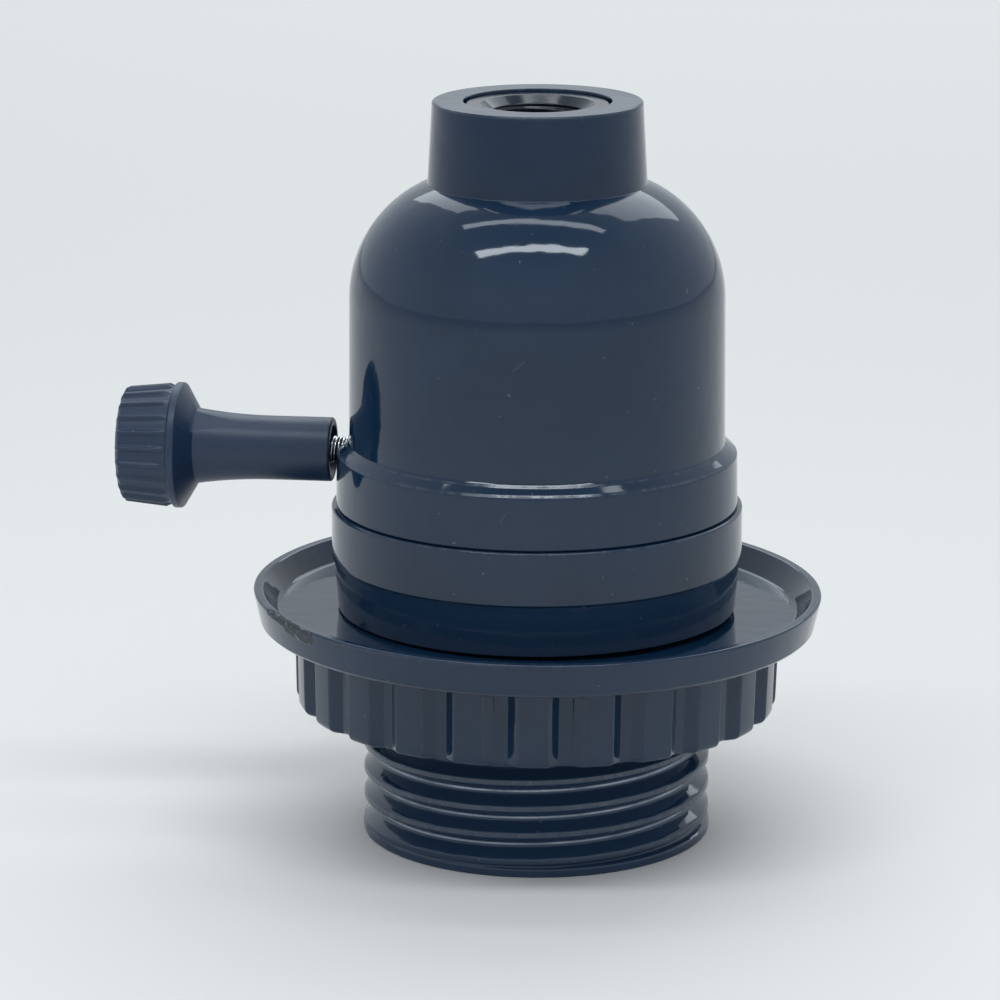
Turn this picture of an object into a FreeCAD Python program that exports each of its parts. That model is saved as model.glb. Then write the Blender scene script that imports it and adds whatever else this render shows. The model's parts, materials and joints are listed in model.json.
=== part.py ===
import FreeCAD, Part
import math
import os
import Sketcher

# Keyless lamp holder with a turn-knob switch, all sizes in millimetres.
# Heights below are counted from the rim of the open mouth (0) up to the top of
# the neck (76.2). Every piece is then lowered by hub_datum, so that the frame's
# origin lies on the axis at the first full turn of the hub thread, +Z up.
# The switch knob points along -X, and the lamp screws in from below.

os.makedirs("parts", exist_ok=True)

doc = FreeCAD.newDocument("lamp_holder")
sheet = doc.addObject("Spreadsheet::Sheet", "sizes")


class Dim:
    """A size with its value and its expression in the sheet."""

    def __init__(self, value, text):
        self.v = float(value)
        self.e = text

    def __add__(self, other):
        o = dim(other)
        return Dim(self.v + o.v, "(%s + %s)" % (self.e, o.e))

    __radd__ = __add__

    def __sub__(self, other):
        o = dim(other)
        return Dim(self.v - o.v, "(%s - %s)" % (self.e, o.e))

    def __rsub__(self, other):
        return dim(other) - self

    def __mul__(self, other):
        o = dim(other)
        return Dim(self.v * o.v, "(%s * %s)" % (self.e, o.e))

    __rmul__ = __mul__

    def __neg__(self):
        return Dim(-self.v, "(0 - %s)" % self.e)


def dim(x):
    return x if isinstance(x, Dim) else Dim(x, "%.6f" % x if x >= 0 else "(0 - %.6f)" % -x)


S = {}


def size(alias, value, note):
    row = len(S) + 1
    sheet.set("A%d" % row, note)
    sheet.set("B%d" % row, "%.4f" % value)
    sheet.setAlias("B%d" % row, alias)
    S[alias] = Dim(value, "sizes." + alias)


# overall heights
size("hub_datum", 75.0, "height of the first full turn of the hub thread")
size("neck_top", 76.2, "top of the neck")
size("neck_base", 67.82, "where the neck leaves the dome")
size("neck_top_rad", 10.65, "neck radius at the top")
size("neck_base_rad", 11.12, "neck radius at its base")
size("neck_edge_round", 0.3, "rounding of the neck's top edge")
size("neck_root_round", 0.4, "fillet between neck and dome")
size("dome_start", 56.06, "height where the wall turns into the dome")
size("dome_rad", 12.65, "radius of the dome's arc")
size("dome_wall_rad", 19.11, "wall radius at the start of the dome")
size("wall_foot_rad", 19.25, "wall radius just above the ledge")
size("ledge_top", 41.05, "height of the ledge")
size("ledge_crest", 40.85, "height of the ledge's outer corner")
size("ledge_rad", 20.5, "radius of the cap's band at the ledge")
size("ledge_round", 0.85, "rounding of the ledge's outer corner")
size("ledge_root_round", 0.3, "fillet between ledge and wall")
size("cap_foot", 34.6, "lower edge of the cap's band")
size("cap_foot_rad", 20.6, "radius of the cap's band at its foot")
size("cap_edge_round", 0.25, "rounding of the cap's lower edge")
size("spigot_foot", 29.3, "lower end of the cap's spigot")
size("spigot_rad", 18.2, "outer radius of the cap's spigot")
size("spigot_bore_rad", 16.9, "inner radius of the cap's spigot")
size("cap_bore_rad", 17.0, "inner radius of the cap")
size("cap_inner_dome_rad", 10.55, "radius of the inner dome's arc")
size("crown_height", 66.0, "height of the crown inside")
size("crown_rad", 9.98, "radius of the flat crown inside")
size("bushing_rad", 7.4, "outer radius of the hub bushing")
size("bushing_top", 75.9, "top face of the hub bushing")
size("bushing_foot", 64.8, "lower face of the hub bushing")
size("bushing_flange_rad", 8.6, "radius of the bushing's flange")
size("hub_bore_rad", 4.6, "thread bore of the hub bushing")
size("hub_mouth_rad", 5.55, "countersunk mouth of the hub bushing")
size("spindle_height", 39.5, "height of the switch spindle's axis")
size("spindle_hole_rad", 2.2, "hole for the spindle in the cap")
# skirt
size("skirt_bore_rad", 14.9, "bore of the threaded skirt")
size("skirt_seat", 25.0, "top of the narrow bore")
size("skirt_pocket_rad", 16.85, "pocket for the switch base")
size("skirt_step", 28.2, "step that carries the switch base")
size("skirt_socket_rad", 18.25, "socket for the cap's spigot")
size("skirt_top_rad", 21.08, "radius of the skirt's band")
size("skirt_band_foot", 29.1, "lower edge of the skirt's band")
size("skirt_taper_top_rad", 20.85, "radius just under the band")
size("skirt_taper_foot_rad", 20.45, "radius at the shoulder")
size("shoulder", 23.85, "height of the shoulder")
size("band_edge_round", 0.3, "rounding of the band's edges")
size("thread_core_rad", 16.6, "core of the shade thread")
size("thread_flank_rad", 17.62, "where the flanks meet the rounded crest")
size("thread_crest_round", 0.72, "radius of the rounded crest")
size("thread_crest_half", 0.62, "half width of the rounded crest")
size("thread_root_rad", 16.3, "buried foot of the thread ridge")
size("thread_root_half", 1.26, "half width of the thread ridge's foot")
size("thread_pitch", 2.79, "pitch of the shade thread")
size("thread_start", -3.29, "height of the ridge's first section, at +X")
size("collar_rad", 18.02, "plain collar at the foot of the thread")
size("collar_top", 0.85, "height of that collar")
size("collar_round", 0.18, "rounding of its edges")
size("thread_rise", 27.9, "rise of the thread ridge")
# shade ring
size("ring_bore_rad", 18.3, "bore of the shade ring over the thread")
size("ring_hub_foot", 13.5, "lower end of the ring's hub")
size("ring_core_rad", 23.95, "ring hub between the ribs")
size("ring_rib_rad", 25.0, "ring hub over the ribs, at the top")
size("ring_rib_foot_rad", 24.8, "ring hub over the ribs, at the foot")
size("ring_under", 22.1, "underside of the ring's flange")
size("ring_floor", 23.45, "floor of the ring's dish")
size("ring_floor_rad", 26.75, "radius of the dish floor")
size("ring_lip_rad", 28.35, "inner radius of the rim's lip")
size("ring_top", 25.6, "top of the rim")
size("ring_rim_rad", 29.3, "outer radius of the rim")
size("ring_rim_foot", 22.4, "lower edge of the rim's wall")
size("ring_rim_foot_rad", 28.6, "rim radius at its lower edge")
size("ring_under_rad", 28.3, "where the underside turns up to the rim")
size("ring_rim_round", 0.2, "rounding of the rim's outer edge")
size("ring_lip_round", 0.3, "rounding of the rim's inner edge")
size("ring_floor_round", 0.6, "fillet between the dish's wall and floor")
size("ring_edge_round", 0.6, "rounding of the hub's lower edge")
size("ring_recess_in_rad", 20.4, "inner radius of the underside recess")
size("ring_recess_out_rad", 22.3, "outer radius of the underside recess")
size("ring_recess_top", 20.0, "top of the underside recess")
size("rib_half", 1.73, "half width of a hub rib")
size("rib_count", 24, "ribs on the hub")
size("rib_shoulder", 1.1, "rounding of a rib's upper corners")
size("rib_top", 21.7, "top of a rib")
size("ring_turn", 5.8, "angle at which the ring's ribs came to rest")
size("ring_tilt", 0.72, "lean of the ring on its loose thread, the knob's side up")
size("ring_pivot", 18.5, "height about which the ring leans")
# knob, along the spindle's axis, counted from the lamp holder's axis
size("knob_stem_end", -21.1, "inner end of the stem")
size("knob_stem_rad", 3.3, "radius of the stem")
size("knob_flare_start", -27.6, "where the stem starts to flare")
size("knob_flare_end", -35.2, "where the stem meets the flange")
size("knob_flare_rad", 3.9, "stem radius at the flange")
size("knob_flare_arc", 48.4, "radius of the flare")
size("knob_flange_x", -36.9, "widest point of the flange")
size("knob_flange_rad", 6.5, "radius of the flange")
size("knob_flange_back", -37.45, "back of the flange")
size("knob_barrel_rad", 6.1, "barrel radius beside the flange")
size("knob_barrel_end_rad", 5.62, "barrel radius at the end")
size("knob_barrel_end", -42.6, "where the barrel rounds over")
size("knob_end", -43.0, "outer end of the knob")
size("knob_end_rad", 5.2, "radius of the flat end")
size("knob_mouth_rad", 2.5, "hollow in the stem's end")
size("knob_mouth_depth", 4.0, "depth of the hollow")
size("knob_rib_count", 22, "ribs on the barrel")
size("knob_rib_half", 0.26, "half width of a knob rib")
size("knob_rib_out", 6.28, "height of a knob rib from the axis")
size("spindle_rad", 1.42, "radius of the threaded spindle")
size("spindle_end", -38.0, "outer end of the spindle, in the knob")
size("spindle_tip", -0.5, "inner end of the spindle, in the shaft")
size("spindle_chamfer", 0.3, "chamfer on the spindle's ends")
# switch
size("base_foot", 26.0, "underside of the switch base")
size("base_top", 30.2, "top of the switch base")
size("base_rad", 16.7, "radius of the switch base")
size("base_flange_rad", 18.1, "radius of the base's clamping flange")
size("base_flange_top", 29.2, "top of the clamping flange")
size("base_upper_rad", 16.8, "radius of the base's upper step")
size("island_rad", 6.6, "raised island under the base")
size("island_foot", 24.8, "underside of the island")
size("cheek_left_out", -13.5, "outer face of the left cheek")
size("cheek_left_in", -11.0, "inner face of the left cheek")
size("cheek_right_in", 5.0, "inner face of the right cheek")
size("cheek_right_out", 7.5, "outer face of the right cheek")
size("cheek_top", 45.4, "top of the cheeks")
size("cheek_width", 13.0, "width of the cheeks along Y")
size("shaft_bearing_rad", 2.27, "bearing bore in the cheeks")
size("shaft_rad", 2.2, "radius of the rotor shaft")
size("shaft_flange_rad", 3.2, "radius of the shaft's flange")
size("shaft_flange_out", -14.7, "outer face of the shaft's flange")
size("shaft_flange_in", -13.65, "inner face of the shaft's flange")
size("shaft_groove_rad", 1.7, "radius of the clip groove")
size("shaft_groove_in", 7.9, "inner side of the clip groove")
size("shaft_groove_out", 8.5, "outer side of the clip groove")
size("shaft_end", 9.3, "end of the rotor shaft")
size("shaft_bore_end", 1.0, "bottom of the shaft's threaded bore")
size("clip_rad", 3.6, "outer radius of the retaining clip")
size("clip_thick", 0.5, "thickness of the retaining clip")
size("clip_slot_half", 1.25, "half width of the clip's mouth")
size("cam_lobe_rad", 4.6, "radius over the cam's lobes")
size("cam_flat", 3.5, "distance of the cam's flats from its axis")
size("cam_left", -8.0, "left end of the cam")
size("cam_right", 2.0, "right end of the cam")
size("cam_collar_rad", 3.0, "radius of the cam's collars")
size("collar_left", -10.85, "end of the left collar")
size("collar_right", 4.85, "end of the right collar")
# lamp contacts
size("shell_bore_rad", 13.2, "inner radius of the screw shell")
size("shell_rad", 13.6, "outer radius of the screw shell")
size("shell_foot", 3.0, "mouth of the screw shell")
size("shell_step", 20.2, "end of the shell's threaded stretch")
size("shell_end_rad", 13.55, "inner radius of the shell's plain end")
size("shell_flange_rad", 8.2, "inner radius of the shell's flange")
size("shell_thick", 0.4, "thickness of the shell")
size("rivet_circle", 10.2, "distance of the shell rivets from the axis")
size("rivet_rad", 1.2, "radius of a shell rivet")
size("rivet_head_rad", 2.1, "radius of a rivet head")
size("rivet_head_thick", 0.5, "height of a rivet head")
size("small_rivet_rad", 1.0, "radius of the contact rivets")
size("small_head_rad", 1.75, "head radius of the contact rivets")
size("contact_rivet_x", -4.2, "place of the centre contact's rivet")
size("strip_thick", 0.4, "thickness of the spring strips")
size("contact_width", 5.0, "width of the centre contact")
size("live_rivet_x", -2.5, "place of the blade's rivet along X")
size("live_rivet_y", 9.6, "place of the blade's rivet along Y")
size("live_clear_rad", 3.0, "clearance round the blade's rivet")
size("live_bore_rad", 2.3, "counterbore for the blade's rivet")
size("live_bore_top", 27.3, "bottom of that counterbore")
size("plate_thick", 0.8, "thickness of the terminal plates")
size("plate_half", 4.5, "half width of the terminal plates")
size("plate_in", 7.6, "inner end of a terminal plate's foot")
size("plate_out", 13.2, "outer face of a terminal plate")
size("plate_top", 43.0, "top of the terminal plates")
size("terminal_height", 37.5, "height of the terminal screws")
size("terminal_rad", 1.75, "radius of the terminal screws")
size("terminal_tip", 10.0, "inner end of the terminal screws")
size("terminal_head_rad", 3.2, "head radius of the terminal screws")
size("terminal_head_end", 15.0, "outer face of the terminal screws")
size("terminal_slot_half", 0.45, "half width of a screw slot")
size("terminal_slot_floor", 14.1, "floor of a terminal screw's slot")
size("blade_left", -4.5, "left side of the switch blade")
size("blade_right", -0.5, "right side of the switch blade")
size("fixed_left", -6.2, "left side of the fixed contact")
size("fixed_right", -2.2, "right side of the fixed contact")
size("button_x", -3.3, "contact buttons along X")
size("button_y", 4.8, "contact buttons along Y")
size("button_rad", 1.0, "radius of the contact buttons")
size("fixed_level", 31.6, "underside of the fixed contact's raised end")
size("fixed_thick", 0.5, "thickness of the fixed contact")
size("blade_level", 33.6, "underside of the blade's free end")
size("button_thick", 0.6, "height of a contact button")
size("spring_half", 2.5, "half width of the detent spring")
size("spring_bow", 44.5, "lowest underside of the detent spring")
size("spring_screw_rad", 1.0, "radius of the spring screws")
size("spring_head_rad", 1.8, "head radius of the spring screws")
size("spring_head_thick", 1.0, "head height of the spring screws")
size("spring_screw_tip", 42.6, "lower end of the spring screws")
doc.recompute()


def g(alias):
    return S[alias]


# ---------------------------------------------------------------- helpers

def new_body(label, base=None, rotation=None):
    """A body lowered by hub_datum; base is a further offset (x, y, z)."""
    body = doc.addObject("PartDesign::Body", label)
    body.Label = label
    bx, by, bz = [dim(c) for c in (base or (0, 0, 0))]
    down = bz - g("hub_datum")
    body.Placement = FreeCAD.Placement(FreeCAD.Vector(bx.v, by.v, down.v),
                                       rotation or FreeCAD.Rotation())
    for axis, d in (("x", bx), ("y", by), ("z", down)):
        body.setExpression("Placement.Base." + axis, d.e)
    return body


def blank_sketch(body, name, plane):
    sk = body.newObject("Sketcher::SketchObject", name)
    face = [f for f in body.Origin.OriginFeatures if f.Role == plane][0]
    sk.AttachmentSupport = [(face, "")]
    sk.MapMode = "FlatFace"
    return sk


def bind(sk, index, d):
    sk.setExpression("Constraints[%d]" % index, d.e)


def pin_point(sk, geo, pos, x, y):
    """Fix one sketch point at (x, y) with dimensions from the sheet."""
    if abs(x.v) < 1e-9:
        sk.addConstraint(Sketcher.Constraint("PointOnObject", geo, pos, -2))
    else:
        bind(sk, sk.addConstraint(Sketcher.Constraint("DistanceX", -1, 1, geo, pos, x.v)), x)
    if abs(y.v) < 1e-9:
        sk.addConstraint(Sketcher.Constraint("PointOnObject", geo, pos, -1))
    else:
        bind(sk, sk.addConstraint(Sketcher.Constraint("DistanceY", -1, 1, geo, pos, y.v)), y)


def outline(body, name, plane, points, offset=0.0):
    """A closed outline. A point is (x, y), or (x, y, radius, turn): with turn +1
    or -1 an arc of that radius leads to the next point, bending left or right;
    with turn 0 the corner between two straight sides is rounded to that radius."""
    sk = blank_sketch(body, name, plane)
    pts = [(dim(p[0]), dim(p[1] - offset)) for p in points]
    n = len(points)
    flat = [FreeCAD.Vector(x.v, y.v, 0) for x, y in pts]
    up = FreeCAD.Vector(0, 0, 1)

    def rounded(i):
        return len(points[i]) > 2 and points[i][3] == 0

    def tangent_points(i):
        """Where a rounded corner leaves its two sides."""
        rad = dim(points[i][2]).v
        a = (flat[i - 1] - flat[i]).normalize()
        b = (flat[(i + 1) % n] - flat[i]).normalize()
        back = rad / math.tan(a.getAngle(b) / 2)
        return flat[i] + a * back, flat[i] + b * back

    def add_arc(a, b, rad, turn):
        mid = (a + b) * 0.5
        half = (b - a).Length / 2
        side = FreeCAD.Vector(-(b - a).y, (b - a).x, 0).normalize()
        c = mid + side * (turn * math.sqrt(max(rad ** 2 - half ** 2, 0)))
        ta = math.atan2(a.y - c.y, a.x - c.x)
        tb = math.atan2(b.y - c.y, b.x - c.x)
        if turn < 0:
            ta, tb = tb, ta
        if tb < ta:
            tb += 2 * math.pi
        k = sk.addGeometry(Part.ArcOfCircle(Part.Circle(c, up, rad), ta, tb), False)
        return (k, 1, 2) if turn > 0 else (k, 2, 1)

    sides = []
    for i in range(n):
        j = (i + 1) % n
        a = tangent_points(i)[1] if rounded(i) else flat[i]
        b = tangent_points(j)[0] if rounded(j) else flat[j]
        if len(points[i]) > 2 and not rounded(i):
            sides.append(add_arc(a, b, dim(points[i][2]).v, points[i][3]))
        else:
            sides.append((sk.addGeometry(Part.LineSegment(a, b), False), 1, 2))
    for i in range(n):
        before, after = sides[i - 1], sides[i]
        if not rounded(i):
            sk.addConstraint(Sketcher.Constraint("Coincident", before[0], before[2], after[0], after[1]))
            pin_point(sk, after[0], after[1], *pts[i])
            if len(points[i]) > 2:
                rad = dim(points[i][2])
                bind(sk, sk.addConstraint(Sketcher.Constraint("Radius", after[0], rad.v)), rad)
            continue
        rad = dim(points[i][2])
        t1, t2 = tangent_points(i)
        cross = (flat[i] - flat[i - 1]).cross(flat[(i + 1) % n] - flat[i]).z
        arc = add_arc(t1, t2, rad.v, 1 if cross > 0 else -1)
        corner = sk.addGeometry(Part.Point(flat[i]), True)
        pin_point(sk, corner, 1, *pts[i])
        sk.addConstraint(Sketcher.Constraint("PointOnObject", corner, 1, before[0]))
        sk.addConstraint(Sketcher.Constraint("PointOnObject", corner, 1, after[0]))
        sk.addConstraint(Sketcher.Constraint("Tangent", before[0], before[2], arc[0], arc[1]))
        sk.addConstraint(Sketcher.Constraint("Tangent", arc[0], arc[2], after[0], after[1]))
        bind(sk, sk.addConstraint(Sketcher.Constraint("Radius", arc[0], rad.v)), rad)
    return sk


def discs(body, name, plane, circles, offset=0.0):
    """Circles (x, y, radius) in one sketch."""
    sk = blank_sketch(body, name, plane)
    for cx, cy, rad in circles:
        cx, cy, rad = dim(cx), dim(cy - offset), dim(rad)
        k = sk.addGeometry(Part.Circle(FreeCAD.Vector(cx.v, cy.v, 0),
                                       FreeCAD.Vector(0, 0, 1), rad.v), False)
        pin_point(sk, k, 3, cx, cy)
        bind(sk, sk.addConstraint(Sketcher.Constraint("Radius", k, rad.v)), rad)
    return sk


def solid_volume(body):
    doc.recompute()
    return body.Shape.Volume


def turned(body, name, sk, axis="V_Axis", cut=False):
    f = body.newObject("PartDesign::Groove" if cut else "PartDesign::Revolution", name)
    f.Profile = sk
    f.ReferenceAxis = (sk, [axis])
    f.Angle = 360
    return f


def pad(body, name, sk, length, both=False, reverse=False):
    f = body.newObject("PartDesign::Pad", name)
    f.Profile = sk
    length = dim(length)
    f.Length = length.v
    f.setExpression("Length", length.e)
    if both:
        f.SideType = "Symmetric"
    f.Reversed = reverse
    return f


def pocket(body, name, sk, length, both=False, reverse=False):
    """A cut; it must take material away, or the outline faces the wrong way."""
    before = solid_volume(body)
    f = body.newObject("PartDesign::Pocket", name)
    f.Profile = sk
    length = dim(length)
    f.Length = length.v
    f.setExpression("Length", length.e)
    if both:
        f.SideType = "Symmetric"
    f.Reversed = reverse
    after = solid_volume(body)
    if not after < before - 1e-4:
        raise RuntimeError("%s of %s cuts nothing" % (name, body.Label))
    return f


def round_edges(body, name, base, circles, radius):
    """Fillet the circular edges of the given (radius, height) pairs."""
    doc.recompute()
    names = []
    for i, e in enumerate(base.Shape.Edges):
        c = e.Curve
        if not isinstance(c, Part.Circle):
            continue
        for rad, high in circles:
            if abs(c.Radius - dim(rad).v) < 1e-3 and abs(c.Center.z - dim(high).v) < 1e-3:
                names.append("Edge%d" % (i + 1))
    if not names:
        raise RuntimeError("no edge to round for %s" % name)
    f = body.newObject("PartDesign::Fillet", name)
    f.Base = (base, names)
    radius = dim(radius)
    f.Radius = radius.v
    f.setExpression("Radius", radius.e)
    return f


def ring_pattern(body, name, axis, originals, count):
    f = body.newObject("PartDesign::PolarPattern", name)
    f.Originals = originals
    f.Axis = axis
    f.Angle = 360
    f.Occurrences = int(count.v)
    f.setExpression("Occurrences", count.e)
    body.Tip = f
    return f


nodes = []


def keep(obj):
    nodes.append(obj)
    return obj


# ---------------------------------------------------------------- cap
# One deep moulding: neck, dome, straight wall, banded foot and a spigot that
# enters the skirt. The joint's fine thread between spigot and skirt is plain.
body = new_body("cap_shell")
sk = outline(body, "cap_section", "XZ_Plane", [
    (g("spigot_bore_rad"), g("spigot_foot")),
    (g("spigot_rad"), g("spigot_foot")),
    (g("spigot_rad"), g("cap_foot")),
    (g("cap_foot_rad"), g("cap_foot"), g("cap_edge_round"), 0),
    (g("ledge_rad"), g("ledge_crest"), g("ledge_round"), 0),
    (g("wall_foot_rad"), g("ledge_top"), g("ledge_root_round"), 0),
    (g("dome_wall_rad"), g("dome_start"), g("dome_rad"), 1),
    (g("neck_base_rad"), g("neck_base")),
    (g("neck_top_rad"), g("neck_top"), g("neck_edge_round"), 0),
    (g("bushing_rad"), g("neck_top")),
    (g("bushing_rad"), g("crown_height")),
    (g("crown_rad"), g("crown_height"), g("cap_inner_dome_rad"), -1),
    (g("cap_bore_rad"), g("dome_start")),
    (g("cap_bore_rad"), g("cap_foot") + 3.4),
])
rev = turned(body, "cap_turned", sk)
# round hole for the switch spindle, in the -X wall
hole = discs(body, "spindle_hole_outline", "YZ_Plane",
             [(0, g("spindle_height"), g("spindle_hole_rad"))])
pocket(body, "spindle_hole", hole, 30.0)
round_edges(body, "neck_fillet", body.Tip, [(g("neck_base_rad"), g("neck_base"))], g("neck_root_round"))
keep(body)

# threaded bushing moulded into the neck, its flange under the crown
body = new_body("hub_bushing")
sk = outline(body, "bushing_section", "XZ_Plane", [
    (g("hub_bore_rad"), g("bushing_foot")),
    (g("bushing_flange_rad"), g("bushing_foot")),
    (g("bushing_flange_rad"), g("crown_height")),
    (g("bushing_rad"), g("crown_height")),
    (g("bushing_rad"), g("bushing_top")),
    (g("hub_mouth_rad"), g("bushing_top")),
    (g("hub_bore_rad"), g("hub_datum")),
])
turned(body, "bushing_turned", sk)
keep(body)

# ---------------------------------------------------------------- skirt
body = new_body("skirt_shell")
sk = outline(body, "skirt_section", "XZ_Plane", [
    (g("skirt_bore_rad"), dim(0)),
    (g("collar_rad"), dim(0), g("collar_round"), 0),
    (g("collar_rad"), g("collar_top"), g("collar_round"), 0),
    (g("thread_core_rad"), g("collar_top")),
    (g("thread_core_rad"), g("shoulder")),
    (g("skirt_taper_foot_rad"), g("shoulder")),
    (g("skirt_taper_top_rad"), g("skirt_band_foot") - 0.12),
    (g("skirt_top_rad"), g("skirt_band_foot") + 0.12),
    (g("skirt_top_rad"), g("cap_foot"), g("band_edge_round"), 0),
    (g("skirt_socket_rad"), g("cap_foot")),
    (g("skirt_socket_rad"), g("skirt_step")),
    (g("skirt_pocket_rad"), g("skirt_step")),
    (g("skirt_pocket_rad"), g("skirt_seat")),
    (g("skirt_bore_rad"), g("skirt_seat")),
])
rev = turned(body, "skirt_turned", sk)
# coarse right-hand thread with a rounded crest, run in under the shoulder
half = g("thread_crest_half")
root = g("thread_root_half")
start = g("thread_start")
ridge = outline(body, "thread_section", "XZ_Plane", [
    (g("thread_root_rad"), start - root),
    (g("thread_flank_rad"), start - half, g("thread_crest_round"), 1),
    (g("thread_flank_rad"), start + half),
    (g("thread_root_rad"), start + root),
])
helix = body.newObject("PartDesign::AdditiveHelix", "thread_ridge")
helix.Profile = ridge
helix.ReferenceAxis = (ridge, ["V_Axis"])
helix.Mode = "pitch-height-angle"
helix.Pitch = g("thread_pitch").v
helix.setExpression("Pitch", g("thread_pitch").e)
helix.Height = g("thread_rise").v
helix.setExpression("Height", g("thread_rise").e)
helix.LeftHanded = False
helix.Reversed = False
# the ridge is cut off level with the rim
trim = outline(body, "rim_trim_section", "XZ_Plane", [
    (g("skirt_bore_rad") - 1.0, -8.0 + dim(0)),
    (g("skirt_top_rad"), -8.0 + dim(0)),
    (g("skirt_top_rad"), dim(0)),
    (g("skirt_bore_rad") - 1.0, dim(0)),
])
turned(body, "rim_trim", trim, cut=True)
keep(body)

# ---------------------------------------------------------------- shade ring
# It leans a little on the loose thread, about a point on the axis.
lean = FreeCAD.Rotation(FreeCAD.Vector(0, 1, 0), g("ring_tilt").v)
pivot = g("ring_pivot")
tilt = math.radians(g("ring_tilt").v)
body = new_body("shade_ring", (
    Dim(-pivot.v * math.sin(tilt), "(0 - %s * sin(%s * 1 deg))" % (pivot.e, g("ring_tilt").e)),
    0,
    Dim(pivot.v * (1 - math.cos(tilt)), "(%s * (1 - cos(%s * 1 deg)))" % (pivot.e, g("ring_tilt").e)),
), lean.multiply(FreeCAD.Rotation(FreeCAD.Vector(0, 0, 1), g("ring_turn").v)))
sk = outline(body, "ring_section", "XZ_Plane", [
    (g("ring_bore_rad"), g("ring_hub_foot")),
    (g("ring_recess_in_rad"), g("ring_hub_foot")),
    (g("ring_recess_in_rad") + 0.25, g("ring_recess_top")),
    (g("ring_recess_out_rad") - 0.25, g("ring_recess_top")),
    (g("ring_recess_out_rad"), g("ring_hub_foot")),
    (g("ring_core_rad") - 0.1, g("ring_hub_foot"), g("ring_edge_round"), 0),
    (g("ring_core_rad"), g("ring_under")),
    (g("ring_under_rad"), g("ring_under")),
    (g("ring_rim_foot_rad"), g("ring_rim_foot")),
    (g("ring_rim_rad"), g("ring_top"), g("ring_rim_round"), 0),
    (g("ring_lip_rad"), g("ring_top"), g("ring_lip_round"), 0),
    (g("ring_floor_rad"), g("ring_floor"), g("ring_floor_round"), 0),
    (g("ring_bore_rad"), g("ring_floor")),
])
rev = turned(body, "ring_turned", sk)
# one grip rib, facing -Y, with rounded upper corners, drawn in the XZ plane
rib = outline(body, "rib_outline", "XZ_Plane", [
    (-g("rib_half"), g("ring_hub_foot")),
    (g("rib_half"), g("ring_hub_foot")),
    (g("rib_half"), g("rib_top") - g("rib_shoulder"), g("rib_shoulder"), 1),
    (g("rib_half") - g("rib_shoulder"), g("rib_top")),
    (g("rib_shoulder") - g("rib_half"), g("rib_top"), g("rib_shoulder"), 1),
    (-g("rib_half"), g("rib_top") - g("rib_shoulder")),
])
rib.AttachmentOffset = FreeCAD.Placement(FreeCAD.Vector(0, 0, g("ring_core_rad").v - 1.0),
                                         FreeCAD.Rotation())
rib.setExpression("AttachmentOffset.Base.z", (g("ring_core_rad") - 1.0).e)
rib_pad = pad(body, "rib", rib, g("ring_rib_rad") - g("ring_core_rad") + 1.6)
z_axis = [f for f in body.Origin.OriginFeatures if f.Role == "Z_Axis"][0]
ring_pattern(body, "ribs", (z_axis, [""]), [rib_pad], g("rib_count"))
# everything outside the hub's drafted, rounded envelope is turned away
env = outline(body, "rib_envelope", "XZ_Plane", [
    (g("ring_rib_foot_rad") - 0.9, g("ring_hub_foot") - 0.02, 0.9, 1),
    (g("ring_rib_foot_rad"), g("ring_hub_foot") + 0.88),
    (g("ring_rib_rad"), g("rib_top") + 0.05),
    (g("ring_rib_rad") + 1.5, g("rib_top") + 0.05),
    (g("ring_rib_rad") + 1.5, g("ring_hub_foot") - 0.02),
])
turned(body, "rib_turning", env, cut=True)
keep(body)

# ---------------------------------------------------------------- knob
# The knob is drawn along the spindle's axis, with its own axis at height 0.
axis_base = (0, 0, g("spindle_height"))
body = new_body("knob", axis_base)
sk = outline(body, "knob_section", "XZ_Plane", [
    (g("knob_stem_end"), g("knob_mouth_rad")),
    (g("knob_stem_end"), g("knob_stem_rad")),
    (g("knob_flare_start"), g("knob_stem_rad"), g("knob_flare_arc"), 1),
    (g("knob_flare_end"), g("knob_flare_rad")),
    (g("knob_flange_x"), g("knob_flange_rad")),
    (g("knob_flange_back"), g("knob_flange_rad")),
    (g("knob_flange_back"), g("knob_barrel_rad")),
    (g("knob_barrel_end"), g("knob_barrel_end_rad")),
    (g("knob_end"), g("knob_end_rad")),
    (g("knob_end"), dim(0)),
    (g("spindle_end"), dim(0)),
    (g("spindle_end"), g("spindle_rad")),
    (g("knob_stem_end") - g("knob_mouth_depth"), g("spindle_rad")),
    (g("knob_stem_end") - g("knob_mouth_depth"), g("knob_mouth_rad")),
])
rev = turned(body, "knob_turned", sk, axis="H_Axis")
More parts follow.
